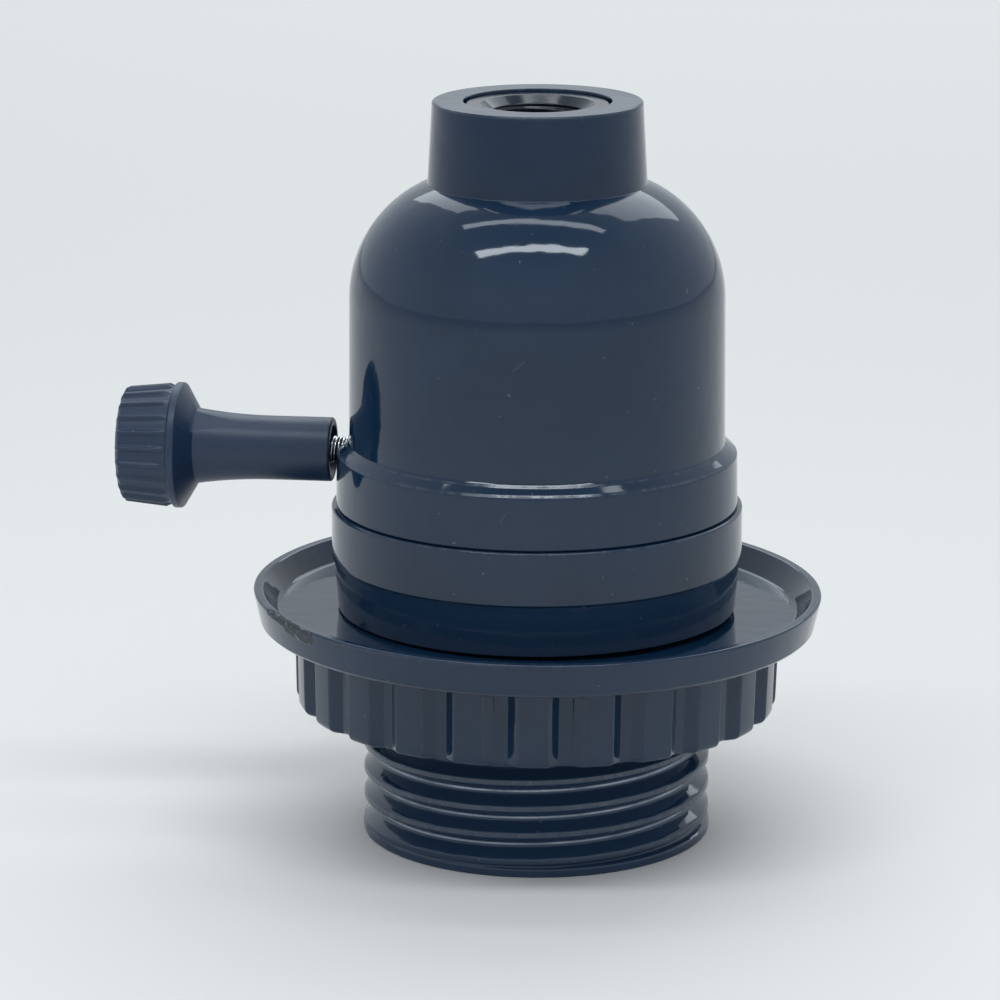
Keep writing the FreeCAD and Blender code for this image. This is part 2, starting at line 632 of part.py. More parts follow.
# one fine rib along the barrel, on its -Y side, then a ring of them
rib = outline(body, "knob_rib_outline", "XZ_Plane", [
    (g("knob_flange_back") + 0.2, -g("knob_rib_half")),
    (g("knob_flange_back") + 0.2, g("knob_rib_half")),
    (g("knob_end") + 0.55, g("knob_rib_half")),
    (g("knob_end") + 0.55, -g("knob_rib_half")),
])
rib_foot = g("knob_barrel_end_rad") - 1.5
rib.AttachmentOffset = FreeCAD.Placement(FreeCAD.Vector(0, 0, rib_foot.v), FreeCAD.Rotation())
rib.setExpression("AttachmentOffset.Base.z", rib_foot.e)
rib_pad = pad(body, "knob_rib", rib, g("knob_rib_out") - rib_foot)
x_axis = [f for f in body.Origin.OriginFeatures if f.Role == "X_Axis"][0]
ring_pattern(body, "knob_ribs", (x_axis, [""]), [rib_pad], g("knob_rib_count"))
env = outline(body, "knob_rib_envelope", "XZ_Plane", [
    (g("knob_flange_back"), g("knob_rib_out")),
    (g("knob_end") + 0.9, g("knob_barrel_end_rad") + 0.22),
    (g("knob_end") + 0.4, g("knob_barrel_end_rad") - 0.35),
    (g("knob_end") + 0.4, g("knob_rib_out") + 0.6),
    (g("knob_flange_back"), g("knob_rib_out") + 0.6),
])
turned(body, "knob_rib_turning", env, axis="H_Axis", cut=True)
keep(body)

# threaded spindle moulded into the knob, screwed into the rotor shaft
body = new_body("knob_spindle", axis_base)
sk = outline(body, "spindle_section", "XZ_Plane", [
    (g("spindle_end"), dim(0)),
    (g("spindle_tip"), dim(0)),
    (g("spindle_tip"), g("spindle_rad") - g("spindle_chamfer")),
    (g("spindle_tip") - g("spindle_chamfer"), g("spindle_rad")),
    (g("spindle_end"), g("spindle_rad")),
])
turned(body, "spindle_turned", sk, axis="H_Axis")
keep(body)

# sleeve that runs in both cheeks of the switch base
body = new_body("rotor_shaft", axis_base)
sk = outline(body, "shaft_section", "XZ_Plane", [
    (g("shaft_flange_out"), g("spindle_rad")),
    (g("shaft_flange_out"), g("shaft_flange_rad")),
    (g("shaft_flange_in"), g("shaft_flange_rad")),
    (g("shaft_flange_in"), g("shaft_rad")),
    (g("shaft_groove_in"), g("shaft_rad")),
    (g("shaft_groove_in"), g("shaft_groove_rad")),
    (g("shaft_groove_out"), g("shaft_groove_rad")),
    (g("shaft_groove_out"), g("shaft_rad")),
    (g("shaft_end"), g("shaft_rad")),
    (g("shaft_end"), dim(0)),
    (g("shaft_bore_end"), dim(0)),
    (g("shaft_bore_end"), g("spindle_rad")),
])
turned(body, "shaft_turned", sk, axis="H_Axis")
keep(body)

# four-lobed moulded cam with a collar at each end
body = new_body("switch_rotor", axis_base)
sk = outline(body, "rotor_collars", "XZ_Plane", [
    (g("collar_left"), g("shaft_rad")),
    (g("collar_right"), g("shaft_rad")),
    (g("collar_right"), g("cam_collar_rad")),
    (g("collar_left"), g("cam_collar_rad")),
])
turned(body, "rotor_turned", sk, axis="H_Axis")
flat = g("cam_flat")
lobe = g("cam_lobe_rad")
side = Dim(math.sqrt(lobe.v ** 2 - flat.v ** 2), "sqrt(%s * %s - %s * %s)" % (lobe.e, lobe.e, flat.e, flat.e))
sk = outline(body, "cam_outline", "YZ_Plane", [
    (flat, -side), (flat, side, lobe, 1),
    (side, flat), (-side, flat, lobe, 1),
    (-flat, side), (-flat, -side, lobe, 1),
    (-side, -flat), (side, -flat, lobe, 1),
])
sk.AttachmentOffset = FreeCAD.Placement(FreeCAD.Vector(0, 0, g("cam_left").v), FreeCAD.Rotation())
sk.setExpression("AttachmentOffset.Base.z", g("cam_left").e)
pad(body, "cam", sk, g("cam_right") - g("cam_left"))
hole = discs(body, "cam_bore_outline", "YZ_Plane", [(0, 0, g("shaft_rad"))])
pocket(body, "cam_bore", hole, 40.0, both=True)
keep(body)

# retaining clip in the shaft's groove
body = new_body("shaft_clip", axis_base)
sk = discs(body, "clip_outline", "YZ_Plane", [(0, 0, g("clip_rad")), (0, 0, g("shaft_groove_rad"))])
clip_x = g("shaft_groove_in") + 0.05
sk.AttachmentOffset = FreeCAD.Placement(FreeCAD.Vector(0, 0, clip_x.v), FreeCAD.Rotation())
sk.setExpression("AttachmentOffset.Base.z", clip_x.e)
pad(body, "clip", sk, g("clip_thick"))
sk = outline(body, "clip_mouth_outline", "YZ_Plane", [
    (-g("clip_slot_half"), -g("clip_rad") - 1.0),
    (g("clip_slot_half"), -g("clip_rad") - 1.0),
    (g("clip_slot_half"), dim(-0.9)),
    (-g("clip_slot_half"), dim(-0.9)),
])
pocket(body, "clip_mouth", sk, 40.0, both=True)
keep(body)

# ---------------------------------------------------------------- switch base
# Moulded disc clamped between skirt and cap, with two bearing cheeks.
body = new_body("switch_base")
sk = outline(body, "base_section", "XZ_Plane", [
    (dim(0), g("island_foot")),
    (g("island_rad"), g("island_foot")),
    (g("island_rad"), g("base_foot")),
    (g("base_rad"), g("base_foot")),
    (g("base_rad"), g("skirt_step")),
    (g("base_flange_rad"), g("skirt_step")),
    (g("base_flange_rad"), g("base_flange_top")),
    (g("base_upper_rad"), g("base_flange_top")),
    (g("base_upper_rad"), g("base_top")),
    (dim(0), g("base_top")),
])
turned(body, "base_turned", sk)
for name, a, b in (("left", "cheek_left_out", "cheek_left_in"), ("right", "cheek_right_in", "cheek_right_out")):
    sk = outline(body, name + "_cheek_outline", "XZ_Plane", [
        (g(a), g("base_top") - 0.5), (g(b), g("base_top") - 0.5),
        (g(b), g("cheek_top")), (g(a), g("cheek_top"))])
    pad(body, name + "_cheek", sk, g("cheek_width"), both=True)
# raised seat under the second shell rivet
sk = discs(body, "rivet_seat_outline", "XY_Plane", [(g("rivet_circle"), 0, g("rivet_head_rad") + 0.3)])
sk.AttachmentOffset = FreeCAD.Placement(FreeCAD.Vector(0, 0, g("base_top").v - 0.5), FreeCAD.Rotation())
sk.setExpression("AttachmentOffset.Base.z", (g("base_top") - 0.5).e)
pad(body, "rivet_seat", sk, g("plate_thick") + 0.5)
sk = discs(body, "bearing_outline", "YZ_Plane", [(0, g("spindle_height"), g("shaft_bearing_rad"))])
pocket(body, "bearings", sk, 40.0, both=True)
sk = discs(body, "rivet_holes_outline", "XY_Plane", [
    (0, -g("rivet_circle"), g("rivet_rad")),
    (g("rivet_circle"), 0, g("rivet_rad")),
    (g("contact_rivet_x"), 0, g("small_rivet_rad")),
    (g("live_rivet_x"), g("live_rivet_y"), g("small_rivet_rad")),
])
pocket(body, "rivet_holes", sk, 80.0, both=True)
sk = discs(body, "live_bore_outline", "XY_Plane", [(g("live_rivet_x"), g("live_rivet_y"), g("live_bore_rad"))])
pocket(body, "live_bore", sk, g("live_bore_top") * 2, both=True)
sk = discs(body, "spring_screw_outline", "XY_Plane", [
    ((g("cheek_left_out") + g("cheek_left_in")) * 0.5, 0, g("spring_screw_rad")),
    ((g("cheek_right_out") + g("cheek_right_in")) * 0.5, 0, g("spring_screw_rad")),
])
sk.AttachmentOffset = FreeCAD.Placement(FreeCAD.Vector(0, 0, g("cheek_top").v + 1.0), FreeCAD.Rotation())
sk.setExpression("AttachmentOffset.Base.z", (g("cheek_top") + 1.0).e)
pocket(body, "spring_screw_holes", sk, g("cheek_top") + 1.0 - g("spring_screw_tip"))
keep(body)

# ---------------------------------------------------------------- lamp shell and contacts
body = new_body("screw_shell")
sk = outline(body, "shell_section", "XZ_Plane", [
    (g("shell_bore_rad"), g("shell_foot")),
    (g("shell_rad"), g("shell_foot")),
    (g("shell_rad"), g("shell_step") - 0.1),
    (g("shell_end_rad") + g("shell_thick"), g("shell_step") + 0.3),
    (g("shell_end_rad") + g("shell_thick"), g("base_foot")),
    (g("shell_flange_rad"), g("base_foot")),
    (g("shell_flange_rad"), g("base_foot") - g("shell_thick")),
    (g("shell_end_rad"), g("base_foot") - g("shell_thick")),
    (g("shell_end_rad"), g("shell_step") + 0.4),
    (g("shell_bore_rad"), g("shell_step")),
])
turned(body, "shell_drawn", sk)
sk = discs(body, "shell_holes_outline", "XY_Plane", [
    (0, -g("rivet_circle"), g("rivet_rad")),
    (g("rivet_circle"), 0, g("rivet_rad")),
    (g("live_rivet_x"), g("live_rivet_y"), g("live_clear_rad")),
])
pocket(body, "shell_holes", sk, 80.0, both=True)
keep(body)


def rivet(label, base, foot, top, rad, head, thick):
    """A rivet along Z between the two outer faces that it clamps."""
    b = new_body(label, base)
    foot, top = dim(foot), dim(top)
    s = outline(b, label + "_section", "XZ_Plane", [
        (dim(0), foot - thick), (head * 0.72, foot - thick), (head, foot),
        (rad, foot), (rad, top), (head, top), (head * 0.72, top + thick), (dim(0), top + thick)])
    turned(b, label + "_turned", s)
    return b


shell_under = g("base_foot") - g("shell_thick")
pair = []
for name, spot in (("shell_rivet_front", (0, -g("rivet_circle"), 0)), ("shell_rivet_side", (g("rivet_circle"), 0, 0))):
    pair.append(rivet(name, spot, shell_under, g("base_top") + g("plate_thick"),
                      g("rivet_rad"), g("rivet_head_rad"), g("rivet_head_thick")))
group = doc.addObject("Part::Compound", "shell_rivets")
group.Label = "shell_rivets"
group.Links = pair
keep(group)

# springy centre contact under the island: a bent strip, cut from its side view
t = g("strip_thick")
z0 = g("island_foot")
body = new_body("centre_contact")
sk = outline(body, "contact_side", "XZ_Plane", [
    (dim(-6.2), z0 - t), (dim(-2.3), z0 - t), (dim(-0.75), z0 - 2.6), (dim(1.15), z0 - 2.6), (dim(3.5), z0 - 1.5),
    (dim(3.4), z0 - 1.1), (dim(1.05), z0 - 2.2), (dim(-0.6), z0 - 2.2), (dim(-2.15), z0), (dim(-6.2), z0)])
pad(body, "contact_strip", sk, g("contact_width"), both=True)
sk = discs(body, "contact_hole_outline", "XY_Plane", [(g("contact_rivet_x"), 0, g("small_rivet_rad"))])
pocket(body, "contact_hole", sk, 80.0, both=True)
keep(body)

keep(rivet("contact_rivet", (g("contact_rivet_x"), 0, 0), z0 - t, g("base_top") + g("fixed_thick"),
           g("small_rivet_rad"), g("small_head_rad"), g("rivet_head_thick")))

# fixed contact on top of the base, joined to the centre contact by that rivet
body = new_body("fixed_contact")
zt = g("base_top")
ft = g("fixed_thick")
sk = outline(body, "fixed_side", "YZ_Plane", [
    (dim(-2.4), zt), (dim(2.3), zt), (dim(3.5), g("fixed_level")), (dim(6.2), g("fixed_level")),
    (dim(6.2), g("fixed_level") + ft), (dim(3.3), g("fixed_level") + ft), (dim(2.1), zt + ft), (dim(-2.4), zt + ft)])
sk.AttachmentOffset = FreeCAD.Placement(FreeCAD.Vector(0, 0, g("fixed_left").v), FreeCAD.Rotation())
sk.setExpression("AttachmentOffset.Base.z", g("fixed_left").e)
pad(body, "fixed_strip", sk, g("fixed_right") - g("fixed_left"))
sk = discs(body, "fixed_hole_outline", "XY_Plane", [(g("contact_rivet_x"), 0, g("small_rivet_rad"))])
pocket(body, "fixed_hole", sk, 80.0, both=True)
keep(body)

# switch blade: riveted on the live plate's foot, its free end under the cam
body = new_body("switch_blade")
root_z = g("base_top") + g("plate_thick")
sk = outline(body, "blade_side", "YZ_Plane", [
    (dim(-4.0), g("blade_level")), (dim(5.9), g("blade_level")), (dim(7.6), root_z), (dim(11.3), root_z),
    (dim(11.3), root_z + t), (dim(7.8), root_z + t), (dim(6.1), g("blade_level") + t), (dim(-4.0), g("blade_level") + t)])
sk.AttachmentOffset = FreeCAD.Placement(FreeCAD.Vector(0, 0, g("blade_left").v), FreeCAD.Rotation())
sk.setExpression("AttachmentOffset.Base.z", g("blade_left").e)
pad(body, "blade_strip", sk, g("blade_right") - g("blade_left"))
sk = discs(body, "blade_hole_outline", "XY_Plane", [(g("live_rivet_x"), g("live_rivet_y"), g("small_rivet_rad"))])
pocket(body, "blade_hole", sk, 80.0, both=True)
keep(body)

keep(rivet("blade_rivet", (g("live_rivet_x"), g("live_rivet_y"), 0), g("live_bore_top"), root_z + t,
           g("small_rivet_rad"), g("small_head_rad"), g("rivet_head_thick")))

# contact buttons: one on the fixed strip, one under the blade
pair = []
for name, low in (("fixed_button", g("fixed_level") + ft), ("blade_button", g("blade_level") - g("button_thick"))):
    b = new_body(name, (g("button_x"), g("button_y"), 0))
    s = outline(b, name + "_section", "XZ_Plane", [
        (dim(0), low), (g("button_rad"), low), (g("button_rad"), low + g("button_thick")), (dim(0), low + g("button_thick"))])
    turned(b, name + "_turned", s)
    pair.append(b)
group = doc.addObject("Part::Compound", "switch_contacts")
group.Label = "switch_contacts"
group.Links = pair
keep(group)

# terminal plates: a foot on the base and an upright that takes the binding screw
for name, sign in (("live", 1), ("neutral", -1)):
    body = new_body(name + "_terminal_plate")
    th = g("plate_thick")
    sk = outline(body, name + "_plate_side", "YZ_Plane", [
        (g("plate_in") * sign, zt), (g("plate_out") * sign, zt), (g("plate_out") * sign, g("plate_top")),
        ((g("plate_out") - th) * sign, g("plate_top")), ((g("plate_out") - th) * sign, zt + th),
        (g("plate_in") * sign, zt + th)])
    pad(body, name + "_plate", sk, g("plate_half") * 2, both=True)
    if sign > 0:
        spots = [(g("live_rivet_x"), g("live_rivet_y"), g("small_rivet_rad"))]
    else:
        spots = [(0, -g("rivet_circle"), g("rivet_rad"))]
    sk = discs(body, name + "_foot_hole", "XY_Plane", spots)
    pocket(body, name + "_foot_drilled", sk, 80.0, both=True)
    sk = discs(body, name + "_screw_hole", "XZ_Plane", [(0, g("terminal_height"), g("terminal_rad"))])
    pocket(body, name + "_plate_tapped", sk, 60.0, both=True)
    keep(body)

# binding screws, drawn along +Z and laid over towards each plate
for name, sign in (("live", 1), ("neutral", -1)):
    turn = FreeCAD.Rotation(FreeCAD.Vector(1, 0, 0), -90 * sign)
    body = new_body(name + "_terminal_screw", (0, 0, g("terminal_height")), turn)
    hr = g("terminal_head_rad")
    he = g("terminal_head_end")
    sk = outline(body, name + "_screw_section", "XZ_Plane", [
        (dim(0), g("terminal_tip")), (g("terminal_rad") - 0.3, g("terminal_tip")),
        (g("terminal_rad"), g("terminal_tip") + 0.3), (g("terminal_rad"), g("plate_out")),
        (hr, g("plate_out")), (hr, he - 0.7, 3.9, 1), (hr - 1.4, he), (dim(0), he)])
    turned(body, name + "_screw_turned", sk)
    sk = outline(body, name + "_slot_outline", "XZ_Plane", [
        (-g("terminal_slot_half"), g("terminal_slot_floor")), (g("terminal_slot_half"), g("terminal_slot_floor")),
        (g("terminal_slot_half"), he + 1.0), (-g("terminal_slot_half"), he + 1.0)])
    pocket(body, name + "_slot", sk, 20.0, both=True)
    keep(body)

# detent spring over both cheeks, bowed down towards the cam
body = new_body("detent_spring")
ct = g("cheek_top")
bow = g("spring_bow")
sk = outline(body, "spring_side", "XZ_Plane", [
    (g("cheek_left_out"), ct), (g("cheek_left_in") + 0.4, ct), (dim(-6.0), bow), (dim(0.0), bow),
    (g("cheek_right_in") - 0.4, ct), (g("cheek_right_out"), ct), (g("cheek_right_out"), ct + t),
    (g("cheek_right_in") - 0.5, ct + t), (dim(-0.1), bow + t), (dim(-5.9), bow + t),
    (g("cheek_left_in") + 0.5, ct + t), (g("cheek_left_out"), ct + t)])
pad(body, "spring_strip", sk, g("spring_half") * 2, both=True)
sk = discs(body, "spring_holes_outline", "XY_Plane", [
    ((g("cheek_left_out") + g("cheek_left_in")) * 0.5, 0, g("spring_screw_rad")),
    ((g("cheek_right_out") + g("cheek_right_in")) * 0.5, 0, g("spring_screw_rad")),
])
pocket(body, "spring_holes", sk, 120.0, both=True)
keep(body)

pair = []
for name, a, b in (("left", "cheek_left_out", "cheek_left_in"), ("right", "cheek_right_in", "cheek_right_out")):
    p = new_body(name + "_spring_screw", ((g(a) + g(b)) * 0.5, 0, 0))
    top = ct + t
    s = outline(p, name + "_spring_screw_section", "XZ_Plane", [
        (dim(0), g("spring_screw_tip")), (g("spring_screw_rad"), g("spring_screw_tip")), (g("spring_screw_rad"), top),
        (g("spring_head_rad"), top), (g("spring_head_rad") * 0.86, top + g("spring_head_thick")),
        (dim(0), top + g("spring_head_thick"))])
    turned(p, name + "_spring_screw_turned", s)
    s = outline(p, name + "_spring_slot_outline", "XZ_Plane", [
        (dim(-0.25), top + 0.5), (dim(0.25), top + 0.5), (dim(0.25), top + 2.0), (dim(-0.25), top + 2.0)])
    pocket(p, name + "_spring_slot", s, 10.0, both=True)
    pair.append(p)
group = doc.addObject("Part::Compound", "detent_screws")
group.Label = "detent_screws"
group.Links = pair
keep(group)

# ---------------------------------------------------------------- check and write
doc.recompute()
bad = []
for obj in doc.Objects:
    if "Invalid" in obj.State or "Error" in obj.State:
        bad.append("%s %s" % (obj.Label, obj.State))
for obj in nodes:
    shape = obj.Shape
    if shape.isNull() or not shape.isValid():
        bad.append("%s has no valid shape" % obj.Label)
if bad:
    raise RuntimeError("; ".join(bad))
for obj in nodes:
    b = obj.Shape.BoundBox
    print("%-24s solids %d  volume %9.2f  x %7.2f %7.2f  y %7.2f %7.2f  z %7.2f %7.2f" % (
        obj.Label, len(obj.Shape.Solids), obj.Shape.Volume, b.XMin, b.XMax, b.YMin, b.YMax, b.ZMin, b.ZMax))
    obj.Shape.exportStep("parts/%s.step" % obj.Label)
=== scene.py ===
import json
import math

import bmesh
import bpy
import numpy as np
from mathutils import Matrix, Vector


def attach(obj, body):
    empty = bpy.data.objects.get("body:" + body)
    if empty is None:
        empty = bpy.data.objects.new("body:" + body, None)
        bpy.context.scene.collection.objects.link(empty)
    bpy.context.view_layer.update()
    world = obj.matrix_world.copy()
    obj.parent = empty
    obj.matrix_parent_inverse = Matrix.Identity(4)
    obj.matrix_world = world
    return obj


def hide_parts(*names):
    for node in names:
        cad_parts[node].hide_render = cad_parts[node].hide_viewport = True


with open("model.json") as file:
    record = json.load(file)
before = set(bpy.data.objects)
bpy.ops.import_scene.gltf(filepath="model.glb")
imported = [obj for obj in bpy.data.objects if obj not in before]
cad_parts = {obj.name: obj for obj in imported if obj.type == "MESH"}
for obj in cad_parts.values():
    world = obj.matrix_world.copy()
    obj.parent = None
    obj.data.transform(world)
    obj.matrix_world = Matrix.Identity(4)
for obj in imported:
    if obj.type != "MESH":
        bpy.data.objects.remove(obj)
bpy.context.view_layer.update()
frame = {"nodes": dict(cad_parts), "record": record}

# The heights below are counted in millimetres from the rim of the open mouth,
# as on a drawing of the holder; the row's origin lies DATUM above that rim.
MM = 0.001
DATUM = 75.0
SPINDLE = 39.5


cyl = math.tau

# ------------------------------------------------------------------ camera
AZ = math.radians(6.5)
DIST, HIGH, PITCH, YAW = 450.0, 148.53, 14.19, 0.482
cam_data = bpy.data.cameras.new("camera")
cam = bpy.data.objects.new("camera", cam_data)
bpy.context.scene.collection.objects.link(cam)
cam_data.sensor_width = 36.0
cam_data.lens = 4518.0 / 1000.0 * 36.0
cam_data.clip_start = 0.01
cam_data.clip_end = 20.0
cam.location = (DIST * MM * math.sin(AZ), -DIST * MM * math.cos(AZ), (HIGH - DATUM) * MM)
cam.rotation_euler = (math.radians(90.0 - PITCH), 0.0, AZ + math.radians(YAW))
bpy.context.scene.camera = cam


# ------------------------------------------------------------------ mesh helpers
def link(mesh, name):
    obj = bpy.data.objects.new(name, mesh)
    bpy.context.scene.collection.objects.link(obj)
    return obj


def grid_piece(name, pts, close_rows=True):
    """A surface from a grid of points in millimetres (rows, columns, 3). Columns
    wrap round; rows wrap too if close_rows. Rows on the axis become a pole."""
    rows, cols, _ = pts.shape
    v = pts.reshape(-1, 3).copy()
    v[:, 2] -= DATUM
    v *= MM
    i = np.arange(rows if close_rows else rows - 1)[:, None]
    j = np.arange(cols)[None, :]
    a = i * cols + j
    b = i * cols + (j + 1) % cols
    c = ((i + 1) % rows) * cols + (j + 1) % cols
    d = ((i + 1) % rows) * cols + j
    faces = np.stack([a, b, c, d], -1).reshape(-1, 4)
    mesh = bpy.data.meshes.new(name)
    mesh.from_pydata(v.tolist(), [], faces.tolist())
    bm = bmesh.new()
    bm.from_mesh(mesh)
    bmesh.ops.remove_doubles(bm, verts=bm.verts, dist=1e-7)
    bmesh.ops.recalc_face_normals(bm, faces=bm.faces)
    bm.to_mesh(mesh)
    bm.free()
    mesh.shade_smooth()
    return link(mesh, name)


def profile(points, closed=True, step=2.0, guard=0.07, turn=9.0):
    """A dense outline from corner points (a, b) or (a, b, radius), in millimetres:
    rounded corners become arcs, and each straight side gets a point close to its
    ends, so that smooth shading stays flat between the roundings."""
    pts = [np.array(p[:2], float) for p in points]
    rad = [p[2] if len(p) > 2 else 0.0 for p in points]
    n = len(pts)
    chunks = []
    for k in range(n):
        p = pts[k]
        if rad[k] <= 0 or (not closed and k in (0, n - 1)):
            chunks.append([p])
            continue
        a = pts[k - 1] - p
        b = pts[(k + 1) % n] - p
        la, lb = np.linalg.norm(a), np.linalg.norm(b)
        a, b = a / la, b / lb
        ang = math.acos(max(-1, min(1, float(a @ b))))
        back = min(rad[k] / math.tan(ang / 2), 0.49 * la, 0.49 * lb)
        r = back * math.tan(ang / 2)
        mid = (a + b) / np.linalg.norm(a + b)
        c = p + mid * (r / math.sin(ang / 2))
        t1, t2 = p + a * back, p + b * back
        u, w = t1 - c, t2 - c
        sweep = math.pi - ang
        m = max(3, int(math.ceil(math.degrees(sweep) / turn)))
        sign = 1.0 if u[0] * w[1] - u[1] * w[0] > 0 else -1.0
        arc = []
        for s in range(m + 1):
            t = sign * sweep * s / m
            arc.append(c + np.array([u[0] * math.cos(t) - u[1] * math.sin(t),
                                     u[0] * math.sin(t) + u[1] * math.cos(t)]))
        chunks.append(arc)
    out = []
    for k in range(n):
        out += chunks[k]
        if not closed and k == n - 1:
            break
        a, b = chunks[k][-1], chunks[(k + 1) % n][0]
        length = np.linalg.norm(b - a)
        cuts = []
        if length > 4 * guard:
            cuts += [guard / length, 1 - guard / length]
        m = int(math.ceil(length / step))
        cuts += [s / m for s in range(1, m)]
        for t in sorted(cuts):
            out.append(a + (b - a) * t)
    return np.array(out)


def arc_points(cx, cy, r, a0, a1, n):
    return [(cx + r * math.cos(math.radians(a)), cy + r * math.sin(math.radians(a)))
            for a in np.linspace(a0, a1, n)]


def lathe(name, outline, cols=256, close_rows=True):
    """Turn an (r, z) outline about the holder's axis."""
    t = np.arange(cols) / cols * cyl
    r, z = outline[:, 0][:, None], outline[:, 1][:, None]
    pts = np.stack([r * np.cos(t), r * np.sin(t), z + 0 * t], -1)
    return grid_piece(name, pts, close_rows)


def lathe_x(name, outline, cols=128, close_rows=True, radius=None):
    """Turn an (x, r) outline about the spindle's axis; radius(r, x, angle) may reshape it."""
    t = np.arange(cols) / cols * cyl
    x, r = outline[:, 0][:, None] + 0 * t, outline[:, 1][:, None] + 0 * t
    if radius is not None:
        r = radius(r, x, t[None, :] + 0 * x)
    pts = np.stack([x, r * np.cos(t), SPINDLE + r * np.sin(t)], -1)
    return grid_piece(name, pts, close_rows)


def smooth01(x):
    x = np.clip(x, 0, 1)
    return x * x * (3 - 2 * x)


# ------------------------------------------------------------------ materials
def new_material(name):
    m = bpy.data.materials.new(name)
    m.use_nodes = True
    nt = m.node_tree
    nt.nodes.clear()
    out = nt.nodes.new("ShaderNodeOutputMaterial")
    bsdf = nt.nodes.new("ShaderNodeBsdfPrincipled")
    nt.links.new(bsdf.outputs[0], out.inputs[0])
    coord = nt.nodes.new("ShaderNodeTexCoord")
    return m, nt, bsdf, coord.outputs["Object"]


def noise(nt, vec, scale, detail=3.0, rough=0.5, stretch=None):
    if stretch is not None:
        mp = nt.nodes.new("ShaderNodeMapping")
        mp.inputs["Scale"].default_value = stretch
        nt.links.new(vec, mp.inputs["Vector"])
        vec = mp.outputs[0]
    n = nt.nodes.new("ShaderNodeTexNoise")
    n.inputs["Scale"].default_value = scale
    n.inputs["Detail"].default_value = detail
    n.inputs["Roughness"].default_value = rough
    nt.links.new(vec, n.inputs["Vector"])
    return n.outputs["Fac"]


def ramp(nt, fac, stops):
    r = nt.nodes.new("ShaderNodeValToRGB")
    while len(r.color_ramp.elements) > 1:
        r.color_ramp.elements.remove(r.color_ramp.elements[-1])
    for k, (pos, col) in enumerate(stops):
        e = r.color_ramp.elements[0] if k == 0 else r.color_ramp.elements.new(pos)
        e.position = pos
        c = col if hasattr(col, "__len__") else (col, col, col)
        e.color = (c[0], c[1], c[2], 1.0)
    nt.links.new(fac, r.inputs[0])
    return r.outputs[0]


def bump(nt, height, strength, distance, normal=None):
    b = nt.nodes.new("ShaderNodeBump")
    b.inputs["Strength"].default_value = strength
    b.inputs["Distance"].default_value = distance
    nt.links.new(height, b.inputs["Height"])
    if normal is not None:
        nt.links.new(normal, b.inputs["Normal"])
    return b.outputs[0]


def mth(nt, op, a, b=0.0, clamp=False):
    n = nt.nodes.new("ShaderNodeMath")
    n.operation = op
    n.use_clamp = clamp
    for k, v in enumerate((a, b)):
        if isinstance(v, (int, float)):
            n.inputs[k].default_value = v
        else:
            nt.links.new(v, n.inputs[k])
    return n.outputs[0]


def vth(nt, op, a, b):
    n = nt.nodes.new("ShaderNodeVectorMath")
    n.operation = op
    for k, v in enumerate((a, b)):
        if isinstance(v, (tuple, list)):
            n.inputs[k].default_value = v
        else:
            nt.links.new(v, n.inputs[k])
    return n.outputs["Value" if op in ("DOT_PRODUCT", "LENGTH", "DISTANCE") else "Vector"]


def fade(nt, value, low, high, at_low=1.0, at_high=0.0):
    """A smooth step from at_low (value <= low) to at_high (value >= high)."""
    n = nt.nodes.new("ShaderNodeMapRange")
    n.interpolation_type = "SMOOTHSTEP"
    for k, v in ((1, low), (2, high), (3, at_low), (4, at_high)):
        n.inputs[k].default_value = v
    nt.links.new(value, n.inputs[0])
    return n.outputs[0]


def either(nt, masks):
    out = masks[0]
    for m in masks[1:]:
        out = mth(nt, "MAXIMUM", out, m)
    return out


def rim_masks(nt, vec, rims):
    """1 close to each circle (radius, height, reach), all in millimetres."""
    sep = nt.nodes.new("ShaderNodeSeparateXYZ")
    nt.links.new(vec, sep.inputs[0])
    x, y, z = sep.outputs
    rho = mth(nt, "SQRT", mth(nt, "ADD", mth(nt, "MULTIPLY", x, x), mth(nt, "MULTIPLY", y, y)))
    out = []
    for rad, height, reach in rims:
        a = mth(nt, "SUBTRACT", rho, rad * MM)
        b = mth(nt, "SUBTRACT", z, (height - DATUM) * MM)
        d = mth(nt, "SQRT", mth(nt, "ADD", mth(nt, "MULTIPLY", a, a), mth(nt, "MULTIPLY", b, b)))
        out.append(fade(nt, d, 0.0, reach * MM))
    return out


def streak_mask(nt, vec, p, q, reach):
    """1 along the segment p-q (millimetres), fading out at the given reach."""
    p, q = Vector(p), Vector(q)
    p.z -= DATUM
    q.z -= DATUM
    p, q = p * MM, q * MM
    d = q - p
    rel = vth(nt, "SUBTRACT", vec, tuple(p))
    along = mth(nt, "DIVIDE", vth(nt, "DOT_PRODUCT", rel, tuple(d)), max(d.length_squared, 1e-12), clamp=True)
    at = nt.nodes.new("ShaderNodeVectorMath")
    at.operation = "SCALE"
    at.inputs[0].default_value = tuple(d)
    nt.links.new(along, at.inputs["Scale"])
    return fade(nt, vth(nt, "DISTANCE", rel, at.outputs[0]), 0.0, reach * MM)


def mixed(nt, fac, a, b):
    n = nt.nodes.new("ShaderNodeMix")
    n.data_type = "RGBA"
    nt.links.new(fac, n.inputs[0])
    for k, v in ((6, a), (7, b)):
        if isinstance(v, (tuple, list)):
            n.inputs[k].default_value = (v[0], v[1], v[2], 1.0)
        else:
            nt.links.new(v, n.inputs[k])
    return n.outputs[2]


